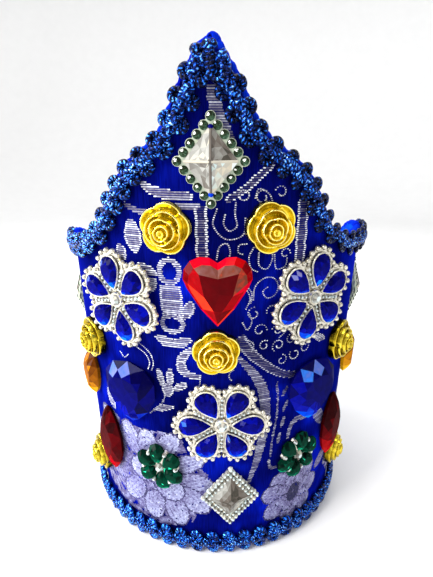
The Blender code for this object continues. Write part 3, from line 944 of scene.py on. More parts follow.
PETAL_SEGMENT = 0.00070
PETAL_LENGTH = 0.98
PETAL_WIDTH = 0.00066
PETAL_VEINS = 10.0
PETAL_RIM = 0.90
PETAL_TONES = {
    # style: tone, vein depth, rim tone
    "pale": (0.57, 0.22, 0.16),
    "shaded": (0.48, 0.22, 0.16),
    "lilac": (0.44, 0.16, 0.04),
}
EYE_TURN = 20
EYE_PETALS = 8
EYE_REACH = 6.6
EYE_SPOT = 0.14
EYE_TONES = (0.34, -0.14)
GROUND_TONE = 0.36
GROUND_MOTTLE = 0.20
PETAL_MOTTLE = 0.05
PETAL_RISE = 0.12
VEIN_BEND = 0.35
VEIN_START = 1.2
VEIN_WIDTH = 0.45
GROUND_HOLES = -0.72
MISSED_THREADS = 0.01
PETAL_TONE_SPREAD = 0.06
FLOWER_GROUND = (
    # corners of angle and height in mm
    (-36, 57), (-32, 60), (-25.3, 59.4), (-22.8, 60.5), (-15.3, 61.7), (-11.2, 59), (-8.7, 49.4),
    (-3.7, 44.4), (-0.6, 41), (-2, 30), (-5, 21), (-9, 13), (-20, 9), (-40, 10), (-55, 14),
    (-63, 24), (-63, 45), (-52, 54), (-46, 62), (-41, 60),
)


def eye_rows():
    """The inner ring of petals round the right flower's eye, and the eye."""
    angle, height = FLOWER_EYE
    for petal in range(EYE_PETALS):
        turn = EYE_TURN + 360 * petal / EYE_PETALS
        lean = math.radians(turn)
        aside = math.degrees(EYE_REACH * math.sin(lean) * MM / PATTERN_RADIUS)
        yield "lilac", angle - aside, height + EYE_REACH * math.cos(lean), 8.0, 6.0, turn
    yield "eye", angle, height, 10.4, 7.6, -14


def petal_places():
    """Centre, direction and half sizes of each flower petal, as they overlap from first to last."""
    for style, angle, height, length, width, turn in (*FLOWER_PETALS, *eye_rows()):
        lean = math.radians(turn)
        halves = length / 2 * MM, width / 2 * MM
        yield style, *on_cloth(angle, height), math.cos(lean), math.sin(lean), *halves


def petal_tone(style, along, across, mottle):
    """Tone at a place in a petal, along and across it in shares of its half sizes."""
    reach = math.hypot(along, across)
    if style == "eye":
        return EYE_TONES[0] if reach < EYE_SPOT else EYE_TONES[1]
    tone, depth, rim_tone = PETAL_TONES[style]
    if reach > PETAL_RIM:
        return rim_tone
    vein = abs(math.sin(PETAL_VEINS * (across + VEIN_BEND * along * across) + VEIN_START))
    groove = depth * max(0.0, 1 - vein / VEIN_WIDTH)
    return tone + PETAL_MOTTLE * mottle + PETAL_RISE * along - groove


def mottle_at(x, y):
    """Soft blotches over the cloth, from -1 to 1."""
    across = math.sin(420 * x + 4 * math.sin(300 * y))
    return across * math.sin(390 * y + 4 * math.sin(350 * x))


def flower_tone(x, y, petals, ground_ends):
    """Tone of the large flowers at a place on the cloth, or none beside them."""
    mottle = mottle_at(x, y)
    for style, px, py, cosine, sine, half_length, half_width in reversed(petals):
        along = (-(x - px) * sine + (y - py) * cosine) / half_length
        across = ((x - px) * cosine + (y - py) * sine) / half_width
        if along * along + across * across < 1:
            return petal_tone(style, along, across, mottle)
    is_ground = any(start < x < end for start, end in zip(ground_ends[::2], ground_ends[1::2]))
    return GROUND_TONE + GROUND_MOTTLE * mottle if is_ground and mottle >= GROUND_HOLES else None


def weave_petals(shape, turn, chance):
    """Large flowers: overlapping petals with a dark outline, curved veins and mottled floats."""
    petals = list(petal_places())
    ground = [on_cloth(angle, height) for angle, height in FLOWER_GROUND]
    reach = max(half for *_, half, _ in petals)
    low = min(y for _, _, y, *_ in petals) - reach
    high = max(y for _, _, y, *_ in petals) + reach
    left = min([x for _, x, *_ in petals] + [x + reach for x, _ in ground]) - reach
    right = max(x for _, x, *_ in petals) + reach
    half = PETAL_SEGMENT * PETAL_LENGTH / 2
    for row in range(round(low / ROW_PITCH), round(high / ROW_PITCH)):
        y = row * ROW_PITCH
        ground_ends = crossings([ground], y)
        for step in range(round((right - left) / PETAL_SEGMENT)):
            x = left + (step + 0.5 * (row % 2)) * PETAL_SEGMENT
            tone = flower_tone(x, y, petals, ground_ends)
            if tone is None or chance.random() < MISSED_THREADS:
                continue
            tone += chance.uniform(-PETAL_TONE_SPREAD, PETAL_TONE_SPREAD)
            lay_thread(shape, x - half, x + half, y, PETAL_WIDTH, tone, turn)


def build_threads(material, petal_material):
    chance = random.Random(THREAD_SEED)
    figures = list(woven_figures())
    dashes = [place for row in SCROLLS for place in scroll_points(*row)]
    dashes += [place for row in DOTTED_LINES for place in line_points(row)]
    for part, turn in enumerate(PATTERN_TURNS):
        shape, petals = Shape(), Shape()
        for style, contours in figures:
            weave_figure(shape, style, contours, turn, chance)
        weave_petals(petals, turn, chance)
        for x, y in dashes:
            tone = DASH_TONE + chance.uniform(*DASH_TONE_SPREAD)
            lay_thread(shape, x - DASH_LENGTH / 2, x + DASH_LENGTH / 2, y, DASH_WIDTH, tone, turn)
        make_piece(f"brocade_flowers_{part + 1}", petals, petal_material, smooth_angle=60.0)
        make_piece(f"brocade_threads_{part + 1}", shape, material, smooth_angle=60.0)


# The braid.

TRIM_LEAST_REACH = 0.0008
TRIM_REACH_STEP = 0.0001
TRIM_SOFTNESS = 6


class Trim:
    """A line along which a braid runs: places and inward normals by length, and how far it may reach in."""

    def __init__(self, path, radius, width, overhang, is_clear, is_pointed=False):
        self.places = np.array(path)
        self.radius = radius
        self.overhang = overhang
        self.has_point = is_pointed
        steps = np.hypot(*np.diff(self.places, axis=0).T)
        self.lengths = np.concatenate([[0.0], np.cumsum(steps)])
        self.total = self.lengths[-1]
        tangents = np.gradient(self.places, axis=0)
        tangents /= np.linalg.norm(tangents, axis=1, keepdims=True)
        self.normals = np.stack([tangents[:, 1], -tangents[:, 0]], axis=1)
        reach = []
        for place, normal in zip(self.places, self.normals):
            step = width - overhang
            while step > TRIM_LEAST_REACH and not is_clear(place[0], place + normal * step):
                step -= TRIM_REACH_STEP
            reach.append(step)
        span = 2 * TRIM_SOFTNESS + 1
        smooth = np.convolve(np.pad(reach, TRIM_SOFTNESS, mode="edge"), np.ones(span) / span, mode="valid")
        self.reach = np.minimum(reach, smooth)
        xs = self.places[:, 0]
        front = np.interp(0.0, xs, self.lengths) if xs[0] < xs[-1] else self.total / 2
        self.loops = round(self.total / BRAID_PITCH)
        self.pitch = self.total / self.loops
        self.first = front / self.pitch % 1.0
        self.middle = math.floor(front / self.pitch)

    def place(self, fine):
        """Length along the line at each count of loops, with those left of the point drawn up to it."""
        along = (fine + self.first) * self.pitch
        if self.has_point:
            beyond = fine - self.middle
            fade = np.exp(np.minimum(beyond, 0.0) / TIP_SPREAD)
            along += TIP_DRAW * self.pitch * fade / (1 + np.exp(TIP_SHARPNESS * beyond))
        return along

    def curl(self, fine):
        """Size of the outer loops: none where the braid ends at the point, so that the satin shows there."""
        if not self.has_point:
            return np.ones(len(fine))
        beyond = fine - self.middle
        return np.where((beyond > TIP_BARE[0]) & (beyond < TIP_BARE[1]), TIP_CURL, 1.0)

    def locate(self, along, across):
        """Angles and heights of places along the line and across it, across from 0 outside to 1 inside."""
        along = np.mod(along, self.total)
        x, y = (np.interp(along, self.lengths, self.places[:, k]) for k in (0, 1))
        nx, ny = (np.interp(along, self.lengths, self.normals[:, k]) for k in (0, 1))
        norm = np.hypot(nx, ny)
        reach = np.interp(along, self.lengths, self.reach)
        step = -self.overhang + across * (reach + self.overhang)
        return np.degrees((x + nx / norm * step) / self.radius), y + ny / norm * step


def wall_normals(angles):
    turns = np.radians(angles)
    return np.stack([np.sin(turns), -np.cos(turns), 0 * turns], axis=-1)


def cord_wave(fine, width, curl=1.0):
    """Sway along the braid, place across it and lift of a cord that curls over itself once a loop."""
    edge = CORD_RADIUS / width
    turns = math.tau * fine
    sway = -LOOP_SWING * curl * np.sin(turns)
    across = LOOP_CROSSING + (edge - LOOP_CROSSING) * curl * (0.5 + 0.5 * np.cos(turns))
    lift = BRAID_BACK + CORD_RADIUS * CORD_FLATTEN + LOOP_WEAVE * (1 + np.sin(turns))
    return sway, across, lift


def add_tube(shape, points, angles, marks, radii, sides, flatten, tones=0.5):
    """Wound cord along points, its section upright on the wall; marks are its lengths so far."""
    body, faces = tube(points, radii, wall_normals(angles), sides, flatten)
    coils = marks[:, None] / COIL_PITCH + COIL_PLIES * np.arange(sides)[None, :] / sides
    shape.add(body, faces, tones, coils.ravel())


def add_cord(shape, points, angles, form, painted_left_light=0.0):
    """Cord of even thickness, its tone raised towards the left of the crown as painted light."""
    radius, step, sides, flatten = form
    angles = np.degrees(np.unwrap(np.radians(angles)))
    points, marks, angles = even_points(points, step, angles)
    # Painted light: the tone rises towards the left of the crown, where the light falls.
    tones = np.repeat(0.5 - painted_left_light * np.sin(np.radians(angles[:-1])), sides)
    add_tube(shape, points, angles, marks, np.full(len(points), radius), sides, flatten, [*tones, 0.5, 0.5])


def fill_loops(shape, trim, width, swap):
    """A short cord across the middle of each loop, which closes its eye."""
    edge = CORD_RADIUS / width
    share = np.linspace(0.0, 1.0, FILL_POINTS)
    radii = CORD_RADIUS * (FILL_THINNEST + (1 - FILL_THINNEST) * np.sqrt(1 - (2 * share - 1) ** 2))
    across = edge + (LOOP_CROSSING - edge) * (FILL_START + FILL_LENGTH * share)
    for loop in np.arange(0.0, trim.loops)[:, None]:
        if not swap and trim.curl(loop)[0] < 0.5:
            continue
        along = np.full(len(share), trim.place(loop)[0])
        angles, heights = trim.locate(along, 1 - across if swap else across)
        points = wall_points(angles, heights, BRAID_BACK + CORD_RADIUS * 0.8)
        add_tube(shape, points, angles, share * FILL_COIL, radii, CORD_SIDES, CORD_FLATTEN)


def even_points(points, step, angles):
    """Points resampled at an even step, their lengths so far and their angles."""
    lengths = np.concatenate([[0.0], np.cumsum(np.linalg.norm(np.diff(points, axis=0), axis=1))])
    marks = np.arange(0.0, lengths[-1], step)
    points = np.stack([np.interp(marks, lengths, points[:, k]) for k in range(3)], axis=1)
    return points, marks, np.interp(marks, lengths, angles)


def build_loops(name, trim, width, material, replaced):
    """Two cords that loop along the outer and along the inner edge."""
    shape = Shape()
    fine = np.arange(0.0, trim.loops, LOOP_FINENESS)
    for swap in (False, True):
        sway, across, lift = cord_wave(fine, width, 1.0 if swap else trim.curl(fine))
        angles, heights = trim.locate(trim.place(fine) + sway, 1 - across if swap else across)
        add_cord(shape, wall_points(angles, heights, lift), angles, CORD, LOOP_PAINTED_LIGHT)
        fill_loops(shape, trim, width, swap)
    make_piece(name, shape, material, replaced, smooth_angle=80.0)


def build_plait(name, trim, material):
    shape = Shape()
    marks = np.arange(0.0, trim.total, PLAIT_FINENESS)
    span = np.interp(marks, trim.lengths, trim.reach) + trim.overhang
    turns = marks / trim.total * round(trim.total / PLAIT_PERIOD) * math.tau
    for strand in range(PLAIT_STRANDS):
        phase = turns + strand * math.tau / PLAIT_STRANDS
        lift = BRAID_BACK + PLAIT_LIFT + PLAIT_WEAVE * np.cos(2 * phase)
        angles, heights = trim.locate(marks, 0.5 + PLAIT_SWING * np.sin(phase) / span)
        add_cord(shape, wall_points(angles, heights, lift), angles, PLAIT)
    make_piece(name, shape, material, smooth_angle=80.0)


def is_clear_of_ornaments(x, y, radius):
    """Whether a place on the unrolled wall stands clear of the blossoms and the diamonds."""
    reach = PETAL_CENTRE + PETAL_RADIUS + BRAID_CLEARANCE
    for _, angle, height, _ in BLOSSOMS:
        if math.hypot(x - math.radians(angle) * radius, y - height) < reach:
            return False
    for _, angle, height in DIAMONDS:
        across = abs(x - math.radians(angle) * radius) / (LOZENGE_WIDTH / 2 + BRAID_CLEARANCE)
        if across + abs(y - height) / (LOZENGE_HEIGHT / 2 + BRAID_CLEARANCE) < 1:
            return False
    return True


BRAID_TOP = 0.2012
TOP_TRIM_STEP = 0.25
HEM_TRIM_POINTS = 721
EDGE_TRIM_STEP = 0.8


def build_top_braid(loop_material, plait_material, edge_material):
    radius = wall_radius(RIM[-1][1])
    angles = np.arange(-180.0, 180.01, TOP_TRIM_STEP)
    path = [(math.radians(angle) * radius, min(rim_height(angle), BRAID_TOP)) for angle in angles]

    def is_clear(start_x, place):
        side = math.copysign(1.0, start_x)
        return place[0] * side > CORD_RADIUS * 0.5 and is_clear_of_ornaments(*place, radius)

    trim = Trim(path, radius, TOP_BRAID_WIDTH, BRAID_OVERHANG, is_clear, True)
    build_loops("top_braid_loops", trim, TOP_BRAID_WIDTH, loop_material, ("top_braid",))
    build_plait("top_braid_plait", trim, plait_material)
    build_rim_edge(edge_material)


EDGE_RADIUS = 0.0014
EDGE_SINK = 0.0006
EDGE_SIDES = 10
EDGE_STEP = 0.0008
EDGE_PUCKERS = ((0.12, 1900.0, 0.0), (0.10, 870.0, 1.0))


def build_rim_edge(material):
    """Satin turned over the rim, which shows puckered between the loops of the braid."""
    angles = np.arange(-180.0, 180.01, EDGE_TRIM_STEP)
    heights = np.array([rim_height(angle) for angle in angles]) - EDGE_SINK
    points = wall_points(angles, heights, -WALL_THICKNESS / 2)
    points, marks, angles = even_points(points, EDGE_STEP, angles)
    puckers = sum(depth * np.sin(rate * marks + start) for depth, rate, start in EDGE_PUCKERS)
    shape = Shape(*tube(points, EDGE_RADIUS * (1 + puckers), wall_normals(angles), EDGE_SIDES))
    make_piece("satin_rim_edge", shape, material, smooth_angle=60.0)


FOLD_TOP = 0.2012
FOLD_BOTTOM = 0.1925
FOLD_WIDTH = 0.0098
FOLD_TAPER = 0.0075
FOLD_LIFT = 0.0014
FOLD_NARROWEST = 0.35
FOLD_SWAY = 0.9


def build_fold(loop_material):
    """End of the braid, folded down over the point."""
    radius = wall_radius(FOLD_TOP)
    fine = np.arange(0.0, round((FOLD_TOP - FOLD_BOTTOM) / BRAID_PITCH), LOOP_FINENESS)
    sway, across, lift = cord_wave(fine, FOLD_WIDTH)
    down = fine * BRAID_PITCH + FOLD_SWAY * sway
    taper = np.clip(FOLD_NARROWEST + (1 - FOLD_NARROWEST) * down / FOLD_TAPER, FOLD_NARROWEST, 1.0)
    shape = Shape()
    for side in (1, -1):
        angles = np.degrees(side * (across - 0.5) * FOLD_WIDTH * taper / radius)
        add_cord(shape, wall_points(angles, FOLD_TOP - down, lift + FOLD_LIFT), angles, CORD)
    make_piece("top_braid_fold", shape, loop_material, smooth_angle=80.0)


TUFT_RADIUS = 0.0026
TUFT_HEIGHT = 0.0042
TUFT_FLATTEN = 0.55
TUFT_TAPER = 0.97
TUFT_FOLDS = 5
TUFT_CREASE = 0.16
TUFT_TWIST = 2.2
TUFT_SIDES = 40
TUFT_LEVELS = 9
TUFT_PLACE = (0.6, 0.2022, -0.0010)


def build_tuft(material):
    """Pinch of the satin that stands out of the braid at the point."""
    share = np.linspace(0.0, 1.0, TUFT_LEVELS)[:, None]
    turns = math.tau * np.arange(TUFT_SIDES) / TUFT_SIDES
    reach = TUFT_RADIUS * np.sqrt(1 - TUFT_TAPER * share**2)
    reach = reach * (1 + TUFT_CREASE * np.sin(TUFT_FOLDS * turns + TUFT_TWIST * share))
    x, y = reach * np.cos(turns), reach * TUFT_FLATTEN * np.sin(turns)
    heights = np.tile(TUFT_HEIGHT * share, TUFT_SIDES)
    points = np.stack([x, y, heights], axis=-1).reshape(-1, 3)
    shape = Shape(points, stack_faces(TUFT_SIDES, TUFT_LEVELS))
    place = Matrix.Translation(Vector(wall_points(*TUFT_PLACE)))
    make_piece("satin_tuft", shape, material, (), place, 60.0)


HEM_LIFT = 0.00015


def build_hem_braid(loop_material, plait_material):
    radius = wall_radius(HEM_BRAID_WIDTH / 2)
    half = math.pi * radius
    path = [(x, HEM_LIFT) for x in np.linspace(half, -half, HEM_TRIM_POINTS)]
    trim = Trim(path, radius, HEM_BRAID_WIDTH, 0.0, lambda start_x, place: True)
    build_loops("hem_braid_loops", trim, HEM_BRAID_WIDTH, loop_material, ("hem_braid",))
    build_plait("hem_braid_plait", trim, plait_material)


# Roses.

ROSE_RADII = 62
ROSE_SPOKES = 150
ROSE_LIP = 0.00055
ROSE_BOWL = 0.0019
ROSE_SHIFT = 0.0012
# Strength of the painted shade in the petals' creases and of the painted highlight on their lips.
ROSE_PAINTED_SHADING = 400.0
# Roses further round than this many degrees take a darker tone, painted shade on the sides of the crown.
ROSE_FRONT = 30
ROSE_FRONT_TONE = 0.52
ROSE_SIDE_SHADED_TONE = 0.20
ROSE_POLISH = 2
ROSE_SHADE_WIDTH = 14
LIP_TILT = 0.00040
LIP_SAG = 0.00030
PETAL_OVERLAP = 1.22
PETAL_ROUNDING = 0.17
PETAL_SQUARENESS = 2.2
PETAL_ASKEW = 0.07
ROSE_LAYERS = (
    # radius, petals, lip height, depth inside the lip, phase in degrees
    (0.00915, 5, 0.0028, 0.0014, 0.0),
    (0.00690, 3, 0.0046, 0.0022, 50.0),
    (0.00490, 3, 0.0060, 0.0024, 118.0),
    (0.00300, 2, 0.0068, 0.0022, 30.0),
    (0.00145, 2, 0.0070, 0.0012, 110.0),
)


def petal_edge(reach, share):
    """Reach of a rose petal at a share of its half width, larger on the side that overlaps its neighbour."""
    rounding = PETAL_ROUNDING * np.abs(share) ** PETAL_SQUARENESS
    inside = reach * (1 - rounding + PETAL_ASKEW * share)
    return np.where(np.abs(share) < 1, inside, 0.0)


def petal_share(turns, phase, petal, petals):
    """How far directions lie from the middle of a rose petal, in shares of its half width."""
    off = (turns - math.radians(phase) - math.tau * petal / petals + math.pi) % math.tau - math.pi
    return off / (math.pi / petals * PETAL_OVERLAP)


def rose_height(x, y, down):
    """Height of the rose's overlapping petals: thin rolled lips round deep bowls, in a loose spiral."""
    height = np.zeros_like(x)
    for reach, petals, lip, depth, phase in ROSE_LAYERS:
        slip = ROSE_SHIFT * (1 - reach / ROSE_LAYERS[0][0])
        px, py = x - down[0] * slip, y - down[1] * slip
        for petal in range(petals):
            share = petal_share(np.arctan2(py, px), phase, petal, petals)
            inward = petal_edge(reach, share) - np.hypot(px, py)
            round_off = np.clip(1 - inward / ROSE_LIP, 0, 1)
            rim = lip + LIP_TILT * share - LIP_SAG * share**2 - ROSE_LIP * (1 - np.sqrt(1 - round_off**2))
            bowl = np.clip((inward - ROSE_LIP) / ROSE_BOWL, 0, 1)
            surface = rim - depth * (1 - (1 - bowl) ** 2)
            surface = np.where((inward > 0) & (np.abs(share) < 1), surface, 0)
            height = np.maximum(height, surface)
    return height


def rose_outline(turns):
    """Reach of the outermost petals in each direction."""
    reach, petals, _, _, phase = ROSE_LAYERS[0]
    shares = [petal_share(turns, phase, petal, petals) for petal in range(petals)]
    return np.max(petal_edge(reach, np.array(shares)), axis=0)


def soften(heights, times):
    """Heights on rings and spokes, each averaged with its neighbours so many times."""
    for _ in range(times):
        rings = np.pad(heights, ((1, 1), (0, 0)), mode="edge")
        heights = (rings[:-2] + 2 * rings[1:-1] + rings[2:]) / 4
        heights = (np.roll(heights, 1, axis=1) + 4 * heights + np.roll(heights, -1, axis=1)) / 6
    return heights


def rose_shape(down, tone):
    """Cast rose as rings of points from its rim to its middle, closed at the back."""
    turns = math.tau * np.arange(ROSE_SPOKES) / ROSE_SPOKES
    shares = np.append(1.0, 0.9995 - np.arange(ROSE_RADII) / ROSE_RADII)
    radii = rose_outline(turns)[None, :] * shares[:, None]
    x, y = radii * np.cos(turns), radii * np.sin(turns)
    heights = soften(rose_height(x, y, down), ROSE_POLISH)
    # Painted shade and highlight: faces below their softened surroundings, in creases and bowls, get darker
    # tones, raised lips lighter ones.
    relief = heights - soften(heights, ROSE_SHADE_WIDTH)
    heights[0] = 0.0
    points = np.stack([x, y, heights], axis=-1).reshape(-1, 3)
    corners = relief + np.roll(relief, -1, axis=1)
    tones = tone + ROSE_PAINTED_SHADING * (corners[:-1] + corners[1:]) / 4
    return Shape(points, stack_faces(ROSE_SPOKES, ROSE_RADII + 1), [*tones.ravel(), 0.5, 0.5])


def build_roses(material):
    for name, angle, height, turn in ROSES:
        # Painted shade: roses on the sides of the crown get the darker tone.
        tone = ROSE_FRONT_TONE if abs(angle) < ROSE_FRONT else ROSE_SIDE_SHADED_TONE
        shape = rose_shape(down_in(turn), tone)
        make_piece(name + "_cast", shape, material, (name,), seat(angle, height, turn), 60.0)


# Cut stones.


def pear_outline(width, length, sides, sharpness, is_oval=False):
    """Outline of a stone about its middle: a pear with its point at -Y, or an oval pointed at both ends."""
    turns = [math.tau * side / sides for side in range(sides)]
    across = [math.sin(t) * abs(math.sin(t if is_oval else t / 2)) ** sharpness for t in turns]
    fullest = max(across)
    return [(x / fullest * width / 2, -math.cos(t) * length / 2) for x, t in zip(across, turns)]


# Facet tones that paint the light inside the cut stones: a glow where it gathers, and pale highlight facets.
TABLE_SPREAD = 0.04
CROWN_SPREAD = 0.13
STONE_BRIGHTEST = 0.84
BACK_TONE = 0.1
SIDE_SHADE = 0.08
FALL_GLOW = 0.10
FOOT_GLOW = 0.44
FOOT_GLOW_FROM = 0.2
LIGHT_ACROSS = 0.70
LIGHT_DOWN = 0.72
PAINTED_HIGHLIGHT_FROM = 0.66
NEVER_HIGHLIGHTED = 2.0
PAINTED_HIGHLIGHT_TONE = 0.95
PAINTED_HIGHLIGHT_SPREAD = (-0.04, 0.05)


def face_middle(points, face, reach):
    """Middle of a face, in shares of the stone's reach."""
    return [sum(points[k][axis] for k in face) / len(face) / reach for axis in (0, 1)]


def cut_stone(outline, depth, down, chance, table, base, contrast, highlight_from):
    """Stone with a girdle, two rows of crown facets and a table whose triangles are painted like back facets
    seen through it.

    down is the direction in which painted light gathers inside the stone, as a painted glow. A kite facet of
    the crown that turns to the light by more than the given least turn is a painted highlight.
    """
    sides = len(outline)
    reach = max(math.hypot(x, y) for x, y in outline)
    middles = [((x0 + x1) / 2, (y0 + y1) / 2) for (x0, y0), (x1, y1) in pairs(outline)]
    # places, share of their reach, share of the depth
    rings = ((outline, 0.92, 0.0), (outline, 1.0, 0.30), (middles, 0.80, 0.74))
    rings += ((outline, table, 1.0), (middles, table * 0.5, 1.0))
    points = [(x * share, y * share, rise * depth) for places, share, rise in rings for x, y in places]
    points.append((0.0, 0.0, depth))
    back, girdle, bevel, rim, heart, centre = (row * sides for row in range(6))
    faces = [tuple(reversed(range(sides)))]
    tones = [BACK_TONE]
    for i in range(sides):
        j, h = (i + 1) % sides, (i - 1) % sides
        facets = (
            ("side", (back + i, back + j, girdle + j, girdle + i)),
            ("crown", (girdle + i, girdle + j, bevel + i)),
            ("kite", (girdle + i, bevel + i, rim + i, bevel + h)),
            ("star", (bevel + i, rim + j, rim + i)),
            ("table", (rim + i, rim + j, heart + i)),
            ("table", (rim + i, heart + i, heart + h)),
            ("table", (heart + h, heart + i, centre)),
        )
        for kind, face in facets:
            x, y = face_middle(points, face, reach)
            # Painted light: the facets glow towards down, most at the foot, and kites turned to the light
            # are painted highlights.
            fall = x * down[0] + y * down[1]
            turned = LIGHT_ACROSS * (x * down[1] - y * down[0]) - LIGHT_DOWN * fall
            foot = max(0.0, fall - FOOT_GLOW_FROM)
            glow = FALL_GLOW * fall + FOOT_GLOW * foot / (1 - FOOT_GLOW_FROM)
            spread = TABLE_SPREAD if kind == "table" else CROWN_SPREAD
            tone = min(STONE_BRIGHTEST, base + contrast * (glow + chance.uniform(-spread, spread)))
            if kind == "side":
                tone -= SIDE_SHADE
            # Painted highlight on a kite facet turned to the light.
            if kind == "kite" and turned > highlight_from:
                tone = PAINTED_HIGHLIGHT_TONE + chance.uniform(*PAINTED_HIGHLIGHT_SPREAD)
            faces.append(face)
            tones.append(tone)
    return Shape(points, faces, tones)


def down_in(turn):
    """World down in the plane of a piece that is turned by so many degrees."""
    lean = math.radians(turn)
    return (-math.sin(lean), -math.cos(lean))


ROUND_GIRDLE = 0.35
ROUND_TABLE = 0.52
ROUND_TONE = 0.62
ROUND_SPREAD = 0.34
ROUND_TABLE_GLINT = 0.92


def round_stone(radius, height, chance, sides=8):
    """Small clear stone in a cup: a ring of facets and a table with a painted glint."""
    outline = circle(radius, sides, chance.uniform(0, math.tau))
    points, faces = stack(outline, ((1.0, 0.0), (1.0, ROUND_GIRDLE * height), (ROUND_TABLE, height)))
    tones = [ROUND_TONE + chance.uniform(-ROUND_SPREAD, ROUND_SPREAD) for _ in faces]
    # Painted glint: the table is always near white.
    tones[-1] = ROUND_TABLE_GLINT
    return Shape(points, faces, tones)


def dome(radius, height, sides, rings):
    """Half ball that bulges from a flat foot."""
    leans = [ring / rings * math.pi / 2 for ring in range(rings)]
    levels = [(math.cos(lean), math.sin(lean) * height) for lean in leans]
    points, faces = stack(circle(radius, sides), levels)
    last, top = len(points) - sides, len(points)
    faces[-1:] = [(last + i, last + (i + 1) % sides, top) for i in range(sides)]
    return Shape([*points, (0.0, 0.0, height)], faces)


def wire(centres, radius):
    """Thin wire along a line."""
    ups = np.tile((0.0, 0.0, 1.0), (len(centres), 1))
    return tube(centres, np.full(len(centres), radius), ups, 6)


# Blossoms.

BLOSSOM_PETALS = 6
PETAL_CENTRE = 0.0125
PETAL_RADIUS = 0.0078
PLATE_THICKNESS = 0.0014
PLATE_LEVELS = (
    # share of the outline, height
    (0.985, 0.0),
    (1.0, 0.3 * PLATE_THICKNESS),
    (1.0, 0.75 * PLATE_THICKNESS),
    (0.985, PLATE_THICKNESS),
)
PETAL_STONE_WIDTH = 0.0084
PETAL_STONE_LENGTH = 0.0128
PETAL_STONE_MIDDLE = 0.0106
PETAL_STONE_HEIGHT = 0.0030
PETAL_STONE_CUT = (0.58, 0.30, 1.2)
PETAL_BEADS = 9
PLATE_MARGIN = 0.0012
CUP_FOOT = 0.6 * PLATE_THICKNESS
BEAD_RADIUS = 0.00112
BEAD_HEIGHT = 0.0016
BEAD_RING = 0.0067
BEAD_SWEEP = 214
RIB_BEADS = 5
RIB_BEAD_RADIUS = 0.00078
RIB_CUP_RADIUS = 1.25 * RIB_BEAD_RADIUS
RIB_CUP_HEIGHT = 0.0014
RIB_STONE_HEIGHT = 0.0009
RIB_STONE_FOOT = 0.0008
RIB_START = 0.0046
RIB_STEP = 0.00185
HUB_RADIUS = 0.0034
HUB_HEIGHT = 0.0030
HUB_LEVELS = ((1.0, 0.0), (1.0, 0.0022), (0.86, HUB_HEIGHT), (0.70, HUB_HEIGHT))
HUB_STONE_RADIUS = 0.0021
HUB_STONE_HEIGHT = 0.0016
HUB_STONE_SINK = 0.0001
BEZEL_RADIUS = 0.00036
BEZEL_RISE = 0.0007
BEZEL_MARGIN = 0.0006


def petal_outline(centre, radius, sides):
    """Outline of a round-petalled blossom, with the first petal pointing up."""
    points = []
    for petal in range(BLOSSOM_PETALS):
        axis = math.pi / 2 + math.tau * petal / BLOSSOM_PETALS
        for side in range(sides):
            off = (side / sides - 0.5) * math.tau / BLOSSOM_PETALS
            reach = centre * math.cos(off) + math.sqrt(radius**2 - (centre * math.sin(off)) ** 2)
            points.append((reach * math.cos(axis + off), reach * math.sin(axis + off)))
    return points


def bead_places():
    """Places of the beads round the petal that points up."""
    for bead in range(PETAL_BEADS):
        lean = math.radians(90 + (bead / (PETAL_BEADS - 1) - 0.5) * BEAD_SWEEP)
        yield BEAD_RING * math.cos(lean), PETAL_CENTRE + BEAD_RING * math.sin(lean)


def rib_places():
    """Places of the small stones between the petals, out from the hub."""
    for petal in range(BLOSSOM_PETALS):
        axis = math.pi / 2 + math.tau * (petal + 0.5) / BLOSSOM_PETALS
        for bead in range(RIB_BEADS):
            reach = RIB_START + RIB_STEP * bead
            yield reach * math.cos(axis), reach * math.sin(axis)


def blossom_metal():
    """Plate with rounded petals, bezels round the stones, cups for the beads and a raised hub."""
    outline = petal_outline(PETAL_CENTRE, PETAL_RADIUS - PLATE_MARGIN, 14)
    metal = Shape(*stack(outline, PLATE_LEVELS))
    rim = pear_outline(PETAL_STONE_WIDTH + BEZEL_MARGIN, PETAL_STONE_LENGTH + BEZEL_MARGIN, 24, 1.0)
    bezel = Shape(*wire([(x, y, PLATE_THICKNESS + BEZEL_RISE) for x, y in (*rim, *rim[:2])], BEZEL_RADIUS))
    cup = dome(BEAD_RADIUS, BEAD_HEIGHT, 12, 5)
    rib_cup = dome(RIB_CUP_RADIUS, RIB_CUP_HEIGHT, 8, 3)
    for petal in range(BLOSSOM_PETALS):
        turn = spin(360 * petal / BLOSSOM_PETALS)
        metal.place(turn @ shift(0, PETAL_STONE_MIDDLE, 0), bezel)
        for x, y in bead_places():
            metal.place(turn @ shift(x, y, CUP_FOOT), cup)
    metal.add(*stack(circle(HUB_RADIUS, 20), HUB_LEVELS))
    for x, y in rib_places():
        metal.place(shift(x, y, CUP_FOOT), rib_cup)
    return metal


def blossom_rhinestones(chance):
    stones = Shape()
    for x, y in rib_places():
        stone = round_stone(RIB_BEAD_RADIUS, RIB_STONE_HEIGHT, chance)
        stones.place(shift(x, y, CUP_FOOT + RIB_STONE_FOOT), stone)
    middle_stone = round_stone(HUB_STONE_RADIUS, HUB_STONE_HEIGHT, chance, 12)
    stones.place(shift(0, 0, HUB_HEIGHT - HUB_STONE_SINK), middle_stone)
    return stones


